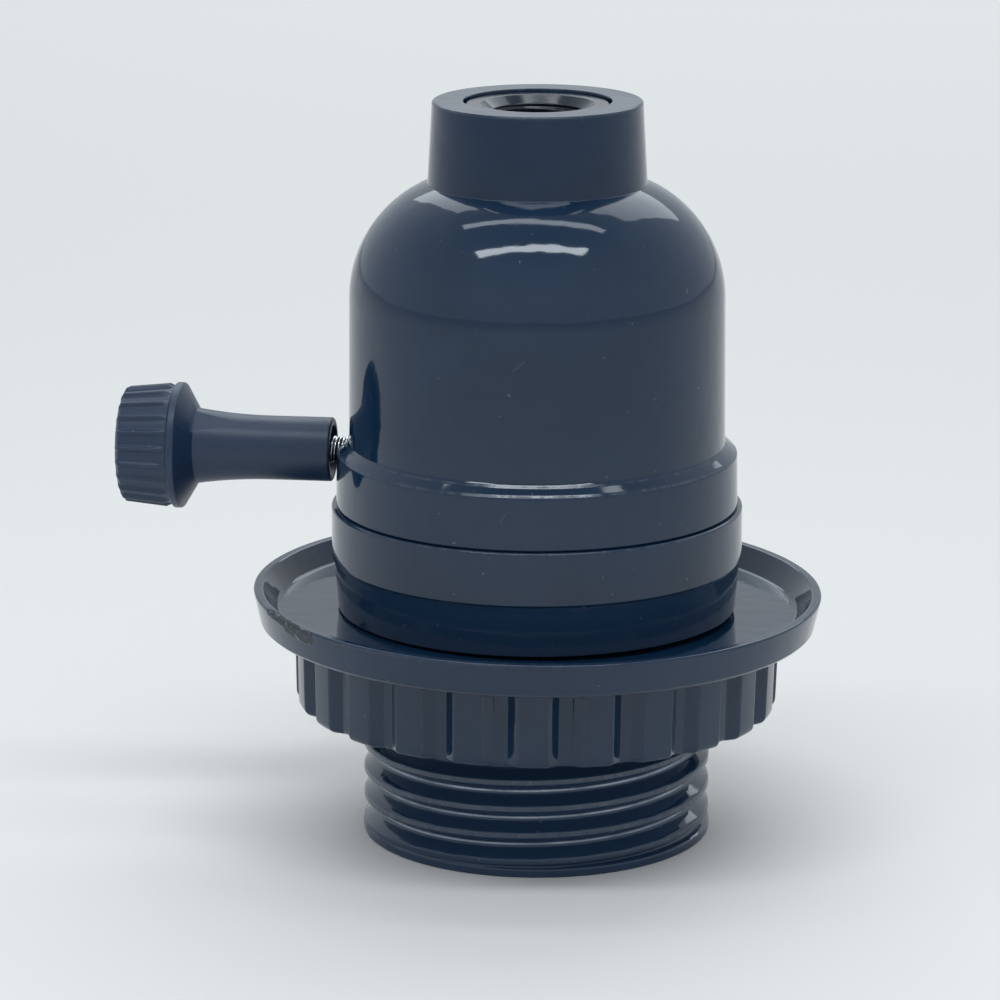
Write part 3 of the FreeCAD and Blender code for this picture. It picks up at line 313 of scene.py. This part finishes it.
def thread_masks(nt, vec):
    """The skirt's lower part, painted a lighter tone as painted light; the thread's crest, painted paler as wear and as
    a highlight; and a painted highlight line in the thread's root.
    """
    sep = nt.nodes.new("ShaderNodeSeparateXYZ")
    nt.links.new(vec, sep.inputs[0])
    x, y, z = sep.outputs
    turn = mth(nt, "DIVIDE", mth(nt, "ARCTAN2", y, x), cyl)
    up = mth(nt, "DIVIDE", mth(nt, "ADD", z, (DATUM - START_MM) * MM), PITCH_MM * MM)
    f = mth(nt, "FRACT", mth(nt, "SUBTRACT", mth(nt, "ADD", up, 20.0), turn))
    c = mth(nt, "ABSOLUTE", mth(nt, "SUBTRACT", f, 0.5))
    below = fade(nt, z, (28.9 - DATUM) * MM, (29.2 - DATUM) * MM)
    zone = mth(nt, "MULTIPLY", fade(nt, z, (13.2 - DATUM) * MM, (13.8 - DATUM) * MM),
               fade(nt, z, (1.6 - DATUM) * MM, (2.2 - DATUM) * MM, 0.0, 1.0))
    crest = mth(nt, "MULTIPLY", fade(nt, c, 0.40, 0.44, 0.0, 1.0), zone)
    rho = mth(nt, "SQRT", mth(nt, "ADD", mth(nt, "MULTIPLY", x, x), mth(nt, "MULTIPLY", y, y)))
    root = mth(nt, "MULTIPLY", fade(nt, mth(nt, "ABSOLUTE", mth(nt, "SUBTRACT", f, 0.555)), 0.022, 0.062), zone)
    root = mth(nt, "MULTIPLY", root, fade(nt, rho, 17.0 * MM, 17.2 * MM))
    return below, crest, root


def rib_edges(nt, vec, count, at, edge, low, high):
    """1 along the upright edges of ribs that stand round the axis."""
    sep = nt.nodes.new("ShaderNodeSeparateXYZ")
    nt.links.new(vec, sep.inputs[0])
    x, y, z = sep.outputs
    turn = mth(nt, "MULTIPLY", mth(nt, "SUBTRACT", mth(nt, "ARCTAN2", y, x), at), count / cyl)
    f = mth(nt, "ABSOLUTE", mth(nt, "SUBTRACT", mth(nt, "FRACT", mth(nt, "ADD", turn, 100.5)), 0.5))
    line = fade(nt, mth(nt, "ABSOLUTE", mth(nt, "SUBTRACT", f, edge)), 0.006, 0.030)
    rho = mth(nt, "SQRT", mth(nt, "ADD", mth(nt, "MULTIPLY", x, x), mth(nt, "MULTIPLY", y, y)))
    line = mth(nt, "MULTIPLY", line, fade(nt, rho, 24.2 * MM, 24.5 * MM, 0.0, 1.0))
    return mth(nt, "MULTIPLY", line, mth(nt, "MULTIPLY", fade(nt, z, (low - DATUM) * MM, (low + 0.8 - DATUM) * MM, 0.0, 1.0),
                                         fade(nt, z, (high - 0.8 - DATUM) * MM, (high - DATUM) * MM)))


def moulded(name, dark, light, rough, wave, grain, rims=(), streaks=(), scuffs=(), wear_and_highlight_tone=(0.050, 0.064, 0.084), thread=False,
             ribs=None, ripples=260.0):
    """Moulded plastic: two close tones in a faint cloud, a slow waviness of the
    moulded skin with a finer ripple, a fine grain, hairline scuffs and specks of
    dust that dull the gloss, edges painted paler as wear and as highlight lines, and single scratches."""
    m, nt, bsdf, vec = new_material(name)
    cloud = noise(nt, vec, 90.0, 4.0, 0.6)
    colour = ramp(nt, cloud, [(0.3, dark), (0.7, light)])
    bsdf.inputs["IOR"].default_value = 1.5
    patch = noise(nt, vec, 160.0, 5.0, 0.65)
    rr = ramp(nt, patch, [(0.3, rough[0]), (0.7, rough[1])])
    hair = noise(nt, vec, 420.0, 2.0, 0.5, (1.0, 1.0, 0.06))
    rr = mth(nt, "ADD", rr, ramp(nt, hair, [(0.66, 0.0), (0.74, rough[2])]))
    # specks of dust
    dust = ramp(nt, noise(nt, vec, 1900.0, 1.0, 0.5), [(0.775, 0.0), (0.81, 0.5)])
    # edges painted paler as highlight lines and as wear, broken up by a coarse and a fine noise
    breakup = ramp(nt, noise(nt, vec, 700.0, 5.0, 0.7), [(0.42, 0.15), (0.62, 1.0)])
    edge_wear_and_highlight = None
    if rims:
        edge_wear_and_highlight = mth(nt, "MULTIPLY", either(nt, rim_masks(nt, vec, rims)), breakup)
    if ribs:
        edge_wear_and_highlight = mth(nt, "MAXIMUM", edge_wear_and_highlight, mth(nt, "MULTIPLY", mth(nt, "MULTIPLY", rib_edges(nt, vec, *ribs), 0.5), breakup))
    if streaks:
        lines = either(nt, [streak_mask(nt, vec, *s) for s in streaks])
        edge_wear_and_highlight = lines if edge_wear_and_highlight is None else mth(nt, "MAXIMUM", edge_wear_and_highlight, lines)
    if edge_wear_and_highlight is not None:
        # painted highlight lines with some wear: edge circles, rib edges and scratches get a paler colour and more
        # roughness
        colour = mixed(nt, mth(nt, "MULTIPLY", edge_wear_and_highlight, 0.75), colour, wear_and_highlight_tone)
        rr = mth(nt, "ADD", rr, mth(nt, "MULTIPLY", edge_wear_and_highlight, 0.30))
    # a slow drift of the tone towards a warmer grey
    drift = ramp(nt, noise(nt, vec, 32.0, 3.0, 0.55), [(0.45, 0.0), (0.70, 0.55)])
    colour = mixed(nt, drift, colour, (light[0] * 1.45, light[1] * 0.92, light[2] * 0.92))
    if thread:
        below, crest, root = thread_masks(nt, vec)
        # painted light: the skirt below its band is painted a lighter blue than the rest of the moulding
        colour = mixed(nt, mth(nt, "MULTIPLY", below, 0.8), colour, (0.0160, 0.0380, 0.0800))
        # the thread's crest is painted paler: a painted highlight, with some wear
        crest = mth(nt, "MULTIPLY", crest, ramp(nt, noise(nt, vec, 500.0, 4.0, 0.6), [(0.3, 0.35), (0.65, 1.0)]))
        colour = mixed(nt, mth(nt, "MULTIPLY", crest, 0.75), colour, (0.070, 0.090, 0.115))
        # painted highlight: a pale line painted along the thread's root
        root = mth(nt, "MULTIPLY", root, ramp(nt, noise(nt, vec, 260.0, 4.0, 0.6), [(0.30, 0.35), (0.60, 1.0)]))
        colour = mixed(nt, root, colour, (0.42, 0.49, 0.58))
        rr = mth(nt, "ADD", rr, mth(nt, "ADD", mth(nt, "MULTIPLY", crest, 0.25), mth(nt, "MULTIPLY", root, 0.5)))
    colour = mixed(nt, dust, colour, (0.16, 0.17, 0.18))
    height = None
    if scuffs:
        area = either(nt, [streak_mask(nt, vec, *s) for s in scuffs])
        area = ramp(nt, mth(nt, "MULTIPLY", area, ramp(nt, noise(nt, vec, 500.0, 4.0, 0.6), [(0.25, 0.45), (0.6, 1.2)])),
                    [(0.32, 0.0), (0.42, 1.0)])
        chips = ramp(nt, noise(nt, vec, 1500.0, 3.0, 0.6), [(0.60, 0.0), (0.66, 1.0)])
        colour = mixed(nt, area, colour, mixed(nt, chips, (0.022, 0.032, 0.040), (0.16, 0.19, 0.21)))
        rr = mth(nt, "ADD", rr, mth(nt, "MULTIPLY", area, 0.50))
        height = mth(nt, "MULTIPLY", area, noise(nt, vec, 1300.0, 4.0, 0.6))
    nt.links.new(colour, bsdf.inputs["Base Color"])
    nt.links.new(mth(nt, "MINIMUM", rr, 0.9), bsdf.inputs["Roughness"])
    slow = bump(nt, noise(nt, vec, 45.0, 1.0, 0.4), wave[0], wave[1])
    ripple = bump(nt, noise(nt, vec, ripples, 1.0, 0.4), wave[2], wave[3], slow)
    if height is not None:
        ripple = bump(nt, height, 0.9, 0.00012, ripple)
    fine = bump(nt, noise(nt, vec, 2600.0, 3.0, 0.6), grain[0], grain[1], ripple)
    nt.links.new(fine, bsdf.inputs["Normal"])
    return m


def metal(name, dark, light, rough, scale, stretch=None, dent=0.25):
    """Metal with a tarnish cloud and fine drawn or machined lines."""
    m, nt, bsdf, vec = new_material(name)
    bsdf.inputs["Metallic"].default_value = 1.0
    cloud = noise(nt, vec, 300.0, 5.0, 0.65)
    nt.links.new(ramp(nt, cloud, [(0.3, dark), (0.7, light)]), bsdf.inputs["Base Color"])
    lines = noise(nt, vec, scale, 4.0, 0.6, stretch)
    nt.links.new(ramp(nt, lines, [(0.25, rough[0]), (0.75, rough[1])]), bsdf.inputs["Roughness"])
    nt.links.new(bump(nt, lines, dent, 0.00003), bsdf.inputs["Normal"])
    return m


GLOSS = dict(dark=(0.0036, 0.0185, 0.0455), light=(0.0064, 0.0262, 0.0615), rough=(0.045, 0.085, 0.08),
             wave=(0.25, 0.0010, 0.30, 0.00010), grain=(0.03, 0.00002), ripples=420.0)
PITCH_MM = 2.79
START_MM = -3.29
mat_body = moulded("phenolic_gloss", **GLOSS)
# the cap's edge circles at the neck top, the neck base and the ledge are painted paler: painted highlight lines, with
# some wear
mat_cap = moulded("phenolic_gloss_cap", rims=[(10.6, 76.1, 0.32), (7.6, 76.1, 0.30), (11.3, 65.9, 0.22), (20.36, 40.14, 0.30), (19.5, 40.95, 0.24)],
                  streaks=[((-0.18, -19.2, 52.56), (0.9, -19.18, 53.39), 0.16), ((-7.81, -17.54, 51.28), (-7.75, -17.57, 51.2), 0.2),
                           ((-1.3, -20.51, 37.53), (-0.75, -20.54, 38.46), 0.12), ((18.35, 5.5, 50.6), (18.3, 5.8, 49.6), 0.2)],
                  **GLOSS)
# the skirt's edge circles are painted paler: painted highlight lines, with some wear
mat_skirt = moulded("phenolic_gloss_skirt", rims=[(21.0, 34.5, 0.3), (20.4, 23.95, 0.25), (18.0, 0.1, 0.35)],
                    thread=True, **GLOSS)
# the ring's rim edges and rib edges are painted paler: painted highlight lines, with some wear
mat_ring = moulded("phenolic_gloss_ring", rims=[(29.25, 25.55, 0.3), (28.4, 25.55, 0.25), (28.45, 22.25, 0.3), (26.6, 23.6, 0.2)],
                   ribs=(24, math.radians(-84.2), 0.235, 14.2, 21.9),
                   scuffs=[((-25.6, -13.7, 25.9), (-23.2, -17.5, 25.6), 0.9), ((-23.4, -17.6, 25.3), (-20.6, -20.7, 25.1), 1.3)],
                   **GLOSS)
mat_knob = moulded("knob_satin", (0.0090, 0.0262, 0.0610), (0.0130, 0.0325, 0.0720),
                   (0.34, 0.44, 0.06), (0.10, 0.0006, 0.10, 0.00010), (0.20, 0.00003), wear_and_highlight_tone=(0.060, 0.078, 0.100))
mat_inner = moulded("inner_moulding_dull", (0.020, 0.018, 0.017), (0.032, 0.028, 0.026),
                    (0.42, 0.58, 0.05), (0.10, 0.0006, 0.10, 0.00010), (0.25, 0.00004))
mat_steel = metal("plated_steel_bright", (0.52, 0.54, 0.57), (0.78, 0.79, 0.80), (0.16, 0.34), 900.0)
# the bushing's top edges are painted paler: painted highlight lines, with some wear
mat_black_steel = moulded("black_finished_steel", (0.009, 0.014, 0.025), (0.016, 0.022, 0.036),
                          (0.08, 0.16, 0.10), (0.10, 0.0006, 0.10, 0.00008), (0.15, 0.00003),
                          rims=[(5.75, 75.88, 0.16), (7.2, 75.88, 0.16)], wear_and_highlight_tone=(0.11, 0.12, 0.13))
mat_brass = metal("brass_plain", (0.58, 0.41, 0.17), (0.80, 0.62, 0.30), (0.20, 0.40), 700.0, (1.0, 1.0, 0.15))
mat_bronze = metal("spring_bronze_rolled", (0.46, 0.28, 0.14), (0.66, 0.44, 0.24), (0.24, 0.42), 900.0, (0.1, 1.0, 1.0))
mat_silver = metal("contact_silver_dull", (0.60, 0.60, 0.58), (0.82, 0.82, 0.80), (0.30, 0.45), 1200.0)

by_slot = {"phenolic": mat_body, "knob_plastic": mat_knob, "inner_moulding": mat_inner,
           "plated_steel": mat_steel, "blackened_steel": mat_black_steel, "brass": mat_brass, "spring_bronze": mat_bronze,
           "contact_silver": mat_silver}
slot_of = {s["node"]: s["material_slot"] for s in frame["record"]["subparts"]}
for node, obj in frame["nodes"].items():
    obj.data.materials.clear()
    obj.data.materials.append(by_slot[slot_of[node]])
    obj.data.polygons.foreach_set("material_index", np.zeros(len(obj.data.polygons), np.int32))


def settle(obj, body, node, material=None):
    obj.data.materials.append(material or by_slot[slot_of[node]])
    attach(obj, body)
    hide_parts(node)
    return obj


# ------------------------------------------------------------------ cap
dome = arc_points(6.46, 56.06, 12.65, 0.0, 68.35, 72)
inner = arc_points(6.45, 56.06, 10.55, 70.4, 0.0, 24)
cap_outline = profile([
    (16.9, 29.3), (18.2, 29.3, 0.25), (18.2, 34.6),
    (20.6, 34.6, 0.25), (20.5, 39.98, 0.3), (20.22, 40.29, 0.08), (19.60, 40.80, 0.08), (19.34, 41.09, 0.06), (19.25, 41.2, 0.06)]
    + dome[:-1] + [(dome[-1][0], dome[-1][1], 0.45)] + [
    (10.65, 76.2, 0.3), (7.5, 76.2, 0.12), (7.5, 66.0)]
    + inner + [(17.0, 38.0)], step=1.6)
cap = lathe("cap_body", cap_outline, 320)
# the spindle's round hole through the -X wall
bm = bmesh.new()
bmesh.ops.create_cone(bm, cap_ends=True, segments=72, radius1=0.0022, radius2=0.0022, depth=0.012)
drill_mesh = bpy.data.meshes.new("drill")
bm.to_mesh(drill_mesh)
bm.free()
drill = link(drill_mesh, "drill")
drill.rotation_euler = (0.0, math.pi / 2, 0.0)
drill.location = (-0.019, 0.0, (SPINDLE - DATUM) * MM)


def cut_away(obj, tool):
    mod = obj.modifiers.new("cut", "BOOLEAN")
    mod.operation = "DIFFERENCE"
    mod.solver = "EXACT"
    mod.object = tool
    bpy.context.view_layer.update()
    deps = bpy.context.evaluated_depsgraph_get()
    made = bpy.data.meshes.new_from_object(obj.evaluated_get(deps), depsgraph=deps)
    obj.modifiers.clear()
    old = obj.data
    obj.data = made
    bpy.data.meshes.remove(old)
    tool_mesh = tool.data
    bpy.data.objects.remove(tool)
    bpy.data.meshes.remove(tool_mesh)


cut_away(cap, drill)
cap.data.shade_smooth()
settle(cap, "holder", "cap_shell", mat_cap)

# ------------------------------------------------------------------ hub bushing, threaded inside
cols = 144
bush = profile([(4.6, 65.2), (5.1, 64.8), (8.6, 64.8, 0.2), (8.6, 66.0), (7.4, 66.0), (7.4, 73.0), (7.22, 73.4), (7.22, 75.9, 0.12),
                (5.75, 75.9, 0.12), (4.78, 75.1)], closed=False, step=1.2)
zs = np.arange(75.1, 65.2, -0.07)
t = np.arange(cols) / cols * cyl
pts = [np.stack([r * np.cos(t), r * np.sin(t), 0 * t + z], -1) for r, z in bush]
for z in zs[1:-1]:
    ph = ((z - 0.94 * t / cyl) / 0.94) % 1.0
    depth = np.abs(ph - 0.5) * 2.0
    run_out = min(1.0, (75.1 - z) / 0.5)
    r = 4.66 + 0.46 * (1 - smooth01((depth - 0.06) / 0.88)) * run_out
    pts.append(np.stack([r * np.cos(t), r * np.sin(t), 0 * t + z], -1))
bushing = grid_piece("hub_bushing_threaded", np.array(pts))
settle(bushing, "holder", "hub_bushing", mat_black_steel)

# ------------------------------------------------------------------ skirt with its coarse thread
CREST, CORE = 17.98, 16.6
COLLAR, COLLAR_TOP = 18.0, 0.85


def thread_radius(theta, z):
    """Outer radius of the threaded skirt: a right-hand ridge with a narrow crest
    and a narrow root, above a plain collar."""
    ph = (z - START_MM) / PITCH_MM - theta / cyl
    d = np.abs(ph - np.round(ph)) * PITCH_MM
    ridge = CREST - 1.5 * np.clip((d - 0.26) / 1.02, 0, 2)
    for limit, k, side in ((CREST - 0.02, 0.16, -1), (CORE, 0.14, 1)):
        h = np.clip(0.5 + 0.5 * side * (ridge - limit) / k, 0, 1)
        ridge = limit * (1 - h) + ridge * h + side * k * h * (1 - h)
    rim = COLLAR - np.clip((z - COLLAR_TOP) / 0.5, 0, 1) ** 1.5 * 2.0
    return np.maximum(ridge, rim)


cols = 360
t = np.arange(cols) / cols * cyl
rise = 0.115
low_rows = np.concatenate([[0.0, 0.03, 0.08, 0.15], np.arange(0.24, 13.6, rise), np.arange(13.6, 23.7, 0.2), [23.85]])
turns = t / cyl
pts = []
zz = np.repeat(low_rows[:, None], cols, 1)
for off in (-1.26, -0.40, -0.24, 0.24, 0.40, 1.26):
    # the row nearest to each edge of the ridge follows that edge
    for k in range(0, 7):
        edge = START_MM + PITCH_MM * (k + turns) + off
        near = np.abs(zz - edge[None, :]).argmin(0)
        ok = (edge > 0.5) & (edge < 13.5) & (np.abs(low_rows[near] - edge) < 0.55 * rise)
        zz[near[ok], np.nonzero(ok)[0]] = edge[ok]
zz = np.sort(zz, axis=0)
for row in zz:
    r = thread_radius(t, row)
    r = np.where(row < 0.15, r - 0.15 + np.sqrt(np.clip(0.15 ** 2 - (0.15 - row) ** 2, 0, 1)), r)
    pts.append(np.stack([r * np.cos(t), r * np.sin(t), row], -1))
upper = profile([(17.0, 23.85), (20.45, 23.85, 0.15), (20.85, 28.98, 0.12), (21.08, 29.22, 0.12),
                 (21.08, 34.6, 0.3), (18.25, 34.6), (18.25, 28.2), (16.85, 28.2), (16.85, 25.0),
                 (14.9, 25.0), (14.9, 0.0, 0.3), (16.3, 0.0)], closed=False, step=1.8)
for r, z in upper[1:]:
    pts.append(np.stack([r * np.cos(t), r * np.sin(t), 0 * t + z], -1))
skirt = grid_piece("skirt_body", np.array(pts))
settle(skirt, "holder", "skirt_shell", mat_skirt)

# ------------------------------------------------------------------ shade ring
RIBS = 24
RIB_AT = math.radians(-90.0 + 5.8)
half = np.array([0.0, 0.75, 1.30, 1.43, 1.50, 1.59, 1.74, 1.92, 2.10, 2.30, 2.48, 2.60, 2.68, 2.76, 2.95])
edge_s = 25.0 * math.radians(7.5)
per = np.concatenate([[-edge_s], -half[:0:-1], half]) / 25.0
ang = np.concatenate([per + RIB_AT + k * cyl / RIBS for k in range(RIBS)])
local = np.concatenate([per] * RIBS)
hub_z = np.concatenate([np.linspace(14.5, 19.9, 8), np.linspace(20.1, 21.75, 15), [21.88, 22.0, 22.1]])


def quarter(n):
    return [math.radians(a) for a in np.linspace(-90, 0, n)]


core_rows, rib_rows = [], []
for a in quarter(9):
    core_rows.append((23.25 + 0.6 * math.cos(a), 14.1 + 0.6 * math.sin(a)))
    rib_rows.append((23.93 + 0.88 * math.cos(a), 14.4 + 0.9 * math.sin(a)))
for z in hub_z:
    core_rows.append((23.85 + 0.1 * (z - 13.5) / 8.6, z))
    rib_rows.append((24.8 + 0.2 * (z - 13.5) / 8.2, z))
core_rows, rib_rows = np.array(core_rows), np.array(rib_rows)
s = 25.0 * local[None, :]
zr = rib_rows[:, 1][:, None]
# distance inside a rib's outline, whose upper corners are rounded
W, TOP, CR = 1.73, 21.7, 1.1
qx = np.abs(s) - (W - CR)
qz = zr - (TOP - CR)
u = -np.where((qx > 0) & (qz > 0), np.hypot(qx, qz) - CR, np.maximum(qx, qz) - CR)
# a small fillet at the foot of a rib's side, a sloping flank, a small rounding
v = np.clip((u + 1.03) / 1.33, 0, 1)
FOOT, HEAD = 0.14, 0.16
SLOPE = 1 / (1 - FOOT / 2 - HEAD / 2)
lift = np.where(v < FOOT, SLOPE * v ** 2 / (2 * FOOT),
                np.where(v < 1 - HEAD, SLOPE * (v - FOOT / 2), 1 - SLOPE * (1 - v) ** 2 / (2 * HEAD)))
lift = lift * smooth01((22.06 - zr) / 0.3)
mix = lift[:, :, None]
prof_pts = core_rows[:, None, :] * (1 - mix) + rib_rows[:, None, :] * mix
hub = np.stack([prof_pts[:, :, 0] * np.cos(ang), prof_pts[:, :, 0] * np.sin(ang), prof_pts[:, :, 1]], -1)
rest = profile([(24.1, 22.1), (28.3, 22.1, 0.12), (28.6, 22.4, 0.12), (29.3, 25.6, 0.2), (28.35, 25.6, 0.3),
                (26.75, 23.45, 0.6), (18.3, 23.45, 0.15), (18.3, 13.5, 0.4), (20.4, 13.5, 0.25), (20.65, 20.0, 0.3),
                (22.05, 20.0, 0.3), (22.3, 13.5, 0.25), (23.1, 13.5)], closed=False, step=3.2, turn=18.0)
more = np.stack([rest[:, 0][:, None] * np.cos(ang), rest[:, 0][:, None] * np.sin(ang),
                 rest[:, 1][:, None] + 0 * ang], -1)
ring_pts = np.concatenate([hub, more])
# the ring leans a little on its loose thread, the knob's side up
LEAN, PIVOT = math.radians(0.72), 18.5
rx, rz = ring_pts[:, :, 0].copy(), ring_pts[:, :, 2] - PIVOT
ring_pts[:, :, 0] = rx * math.cos(LEAN) + rz * math.sin(LEAN)
ring_pts[:, :, 2] = PIVOT - rx * math.sin(LEAN) + rz * math.cos(LEAN)
ring = grid_piece("shade_ring_fluted", ring_pts)
settle(ring, "shade_ring", "shade_ring", mat_ring)

# ------------------------------------------------------------------ knob
KRIBS = 22
flare = [(x, 3.3 + 0.6 * ((-27.6 - x) / 7.6) ** 2) for x in np.linspace(-27.6, -35.2, 12)]
knob_outline = profile([(-21.1, 2.5, 0.15), (-21.1, 3.3, 0.25)] + flare[:-1] + [(-35.2, 3.9, 0.25),
                       (-36.75, 6.5, 0.3), (-37.45, 6.5, 0.15), (-37.6, 6.12, 0.08), (-42.6, 5.62, 0.3), (-43.0, 5.0, 0.25),
                       (-43.0, 0.0)], closed=False, step=0.7)
knob_in = profile([(-26.0, 0.0), (-26.0, 1.6), (-25.1, 2.5), (-21.1, 2.5, 0.15)], closed=False, step=1.0)
kn = np.concatenate([knob_in[:-1], knob_outline[1:]])
K_FLAT = math.radians(90 + 33)


def knob_radius(r, x, a):
    ph = (a * KRIBS / cyl) % 1.0
    d = np.abs(ph - 0.5) * (cyl / KRIBS) * 6.0
    rib = 0.34 * (1 - smooth01((d - 0.12) / 0.24))
    along = smooth01((-37.7 - x) / 0.35) * smooth01((x + 43.03) / 0.14)
    r = r + np.where(r > 4.0, rib * along, 0.0)
    # a narrow tapered flat down the flare, left by the mould
    plane = 3.24 + 0.055 * np.clip(-28.0 - x, 0, 8)
    gap = np.abs((a - K_FLAT + math.pi) % cyl - math.pi)
    cut = plane / np.maximum(np.cos(gap), 0.2)
    on = (x < -27.8) & (x > -35.3) & (r > 3.1) & (r < 4.2) & (gap < 0.6)
    return np.where(on, np.minimum(r, cut), r)


knob = lathe_x("turn_knob", kn, 352, close_rows=False, radius=knob_radius)
settle(knob, "knob_rotor", "knob")

# threaded spindle: a fine right-hand thread along its visible length
xs = np.concatenate([[-38.0, -37.9, -30.0, -26.5], np.arange(-26.4, -14.0, 0.055), [-13.9, -5.0, -0.8, -0.5]])
cols = 64
t = np.arange(cols) / cols * cyl
pts = []
for x in xs:
    ph = (x / 0.705 + t / cyl) % 1.0
    cut = 0.17 * smooth01(np.abs(ph - 0.5) * 2.0)
    amount = 1.0 if -26.3 < x < -14.1 else 0.0
    r = 1.42 - cut * amount
    if x <= -38.0 or x >= -0.5:
        r = r * 0 + 1.15
    pts.append(np.stack([0 * t + x, r * np.cos(t), SPINDLE + r * np.sin(t)], -1))
first = np.stack([0 * t - 38.0, 0 * t, SPINDLE + 0 * t], -1)
last = np.stack([0 * t - 0.5, 0 * t, SPINDLE + 0 * t], -1)
spindle = grid_piece("threaded_spindle", np.array([first] + pts + [last]), close_rows=False)
settle(spindle, "knob_rotor", "knob_spindle")

# ------------------------------------------------------------------ screw shell with its rolled thread
cols = 160
t = np.arange(cols) / cols * cyl
LP = 3.63


def wave(z):
    amount = smooth01((z - 3.3) / 1.0) * smooth01((24.9 - z) / 1.0)
    return 13.16 + 0.40 * amount * np.cos((z / LP - t / cyl) * cyl) + (1 - amount) * 0.22 + 0.35 * smooth01((z - 23.6) / 1.3)


pts = []
for z in np.arange(3.0, 25.3, 0.22):
    r = wave(z)
    pts.append(np.stack([r * np.cos(t), r * np.sin(t), 0 * t + z], -1))
top = profile([(13.73, 25.3), (13.73, 26.0, 0.35), (8.2, 26.0), (8.2, 25.6), (13.35, 25.6, 0.3), (13.37, 25.2)],
              closed=False, step=1.5)
for r, z in top[1:-1]:
    pts.append(np.stack([r * np.cos(t), r * np.sin(t), 0 * t + z], -1))
for z in np.arange(25.2, 2.98, -0.22):
    r = wave(z) - 0.34
    pts.append(np.stack([r * np.cos(t), r * np.sin(t), 0 * t + z], -1))
shell = grid_piece("screw_shell_rolled", np.array(pts))
settle(shell, "holder", "screw_shell")

# ------------------------------------------------------------------ floor and light
floor_mesh = bpy.data.meshes.new("floor")
reach = 3.0
floor_mesh.from_pydata([(-reach, -reach, -DATUM * MM), (reach, -reach, -DATUM * MM),
                        (reach, reach, -DATUM * MM), (-reach, reach, -DATUM * MM)], [], [(0, 1, 2, 3)])
floor = link(floor_mesh, "floor")
# plain pale paper, the same for every ray and all over
fm = bpy.data.materials.new("floor_pale")
fm.use_nodes = True
fm.node_tree.nodes.clear()
fout = fm.node_tree.nodes.new("ShaderNodeOutputMaterial")
paper = fm.node_tree.nodes.new("ShaderNodeBsdfDiffuse")
paper.inputs[0].default_value = (0.825, 0.805, 0.780, 1.0)
fm.node_tree.links.new(paper.outputs[0], fout.inputs[0])
floor_mesh.materials.append(fm)

# a pale tent that only darkens with height, the same from every side
world = bpy.data.worlds.new("studio")
bpy.context.scene.world = world
world.use_nodes = True
wn = world.node_tree
wn.nodes.clear()
wout = wn.nodes.new("ShaderNodeOutputWorld")
bg = wn.nodes.new("ShaderNodeBackground")
wsep = wn.nodes.new("ShaderNodeSeparateXYZ")
wn.links.new(wn.nodes.new("ShaderNodeTexCoord").outputs["Generated"], wsep.inputs[0])
bg.inputs["Color"].default_value = (0.93, 1.0, 1.06, 1.0)
wn.links.new(ramp(wn, wsep.outputs[2], [(0.0, 0.70), (0.35, 0.70), (0.75, 0.58), (0.93, 0.37), (1.0, 0.29)]),
             bg.inputs["Strength"])
wn.links.new(bg.outputs[0], wout.inputs[0])


def soft_box(name, place, size, radiance, aim=(0.0, 0.0, -0.03), down=False, turn=0.0):
    data = bpy.data.lights.new(name, "AREA")
    data.shape = "RECTANGLE"
    data.size, data.size_y = size
    data.energy = radiance * math.pi * size[0] * size[1]
    data.color = (0.93, 1.0, 1.06)
    obj = bpy.data.objects.new(name, data)
    bpy.context.scene.collection.objects.link(obj)
    obj.location = place
    if down:
        obj.rotation_euler = (0.0, 0.0, math.radians(turn))
    else:
        obj.rotation_euler = (Vector(aim) - Vector(place)).to_track_quat("-Z", "Y").to_euler()
    return obj


soft_box("strip_front", (-0.009, -0.138, 0.290), (0.350, 0.045), 9.5, down=True, turn=7.0)
soft_box("strip_back", (-0.010, 0.030, 0.290), (0.330, 0.030), 3.7, down=True)
soft_box("box_back", (0.0, 0.80, 0.75), (1.2, 0.8), 1.6)

bpy.context.scene.view_settings.view_transform = "Standard"
bpy.context.scene.view_settings.look = "None"
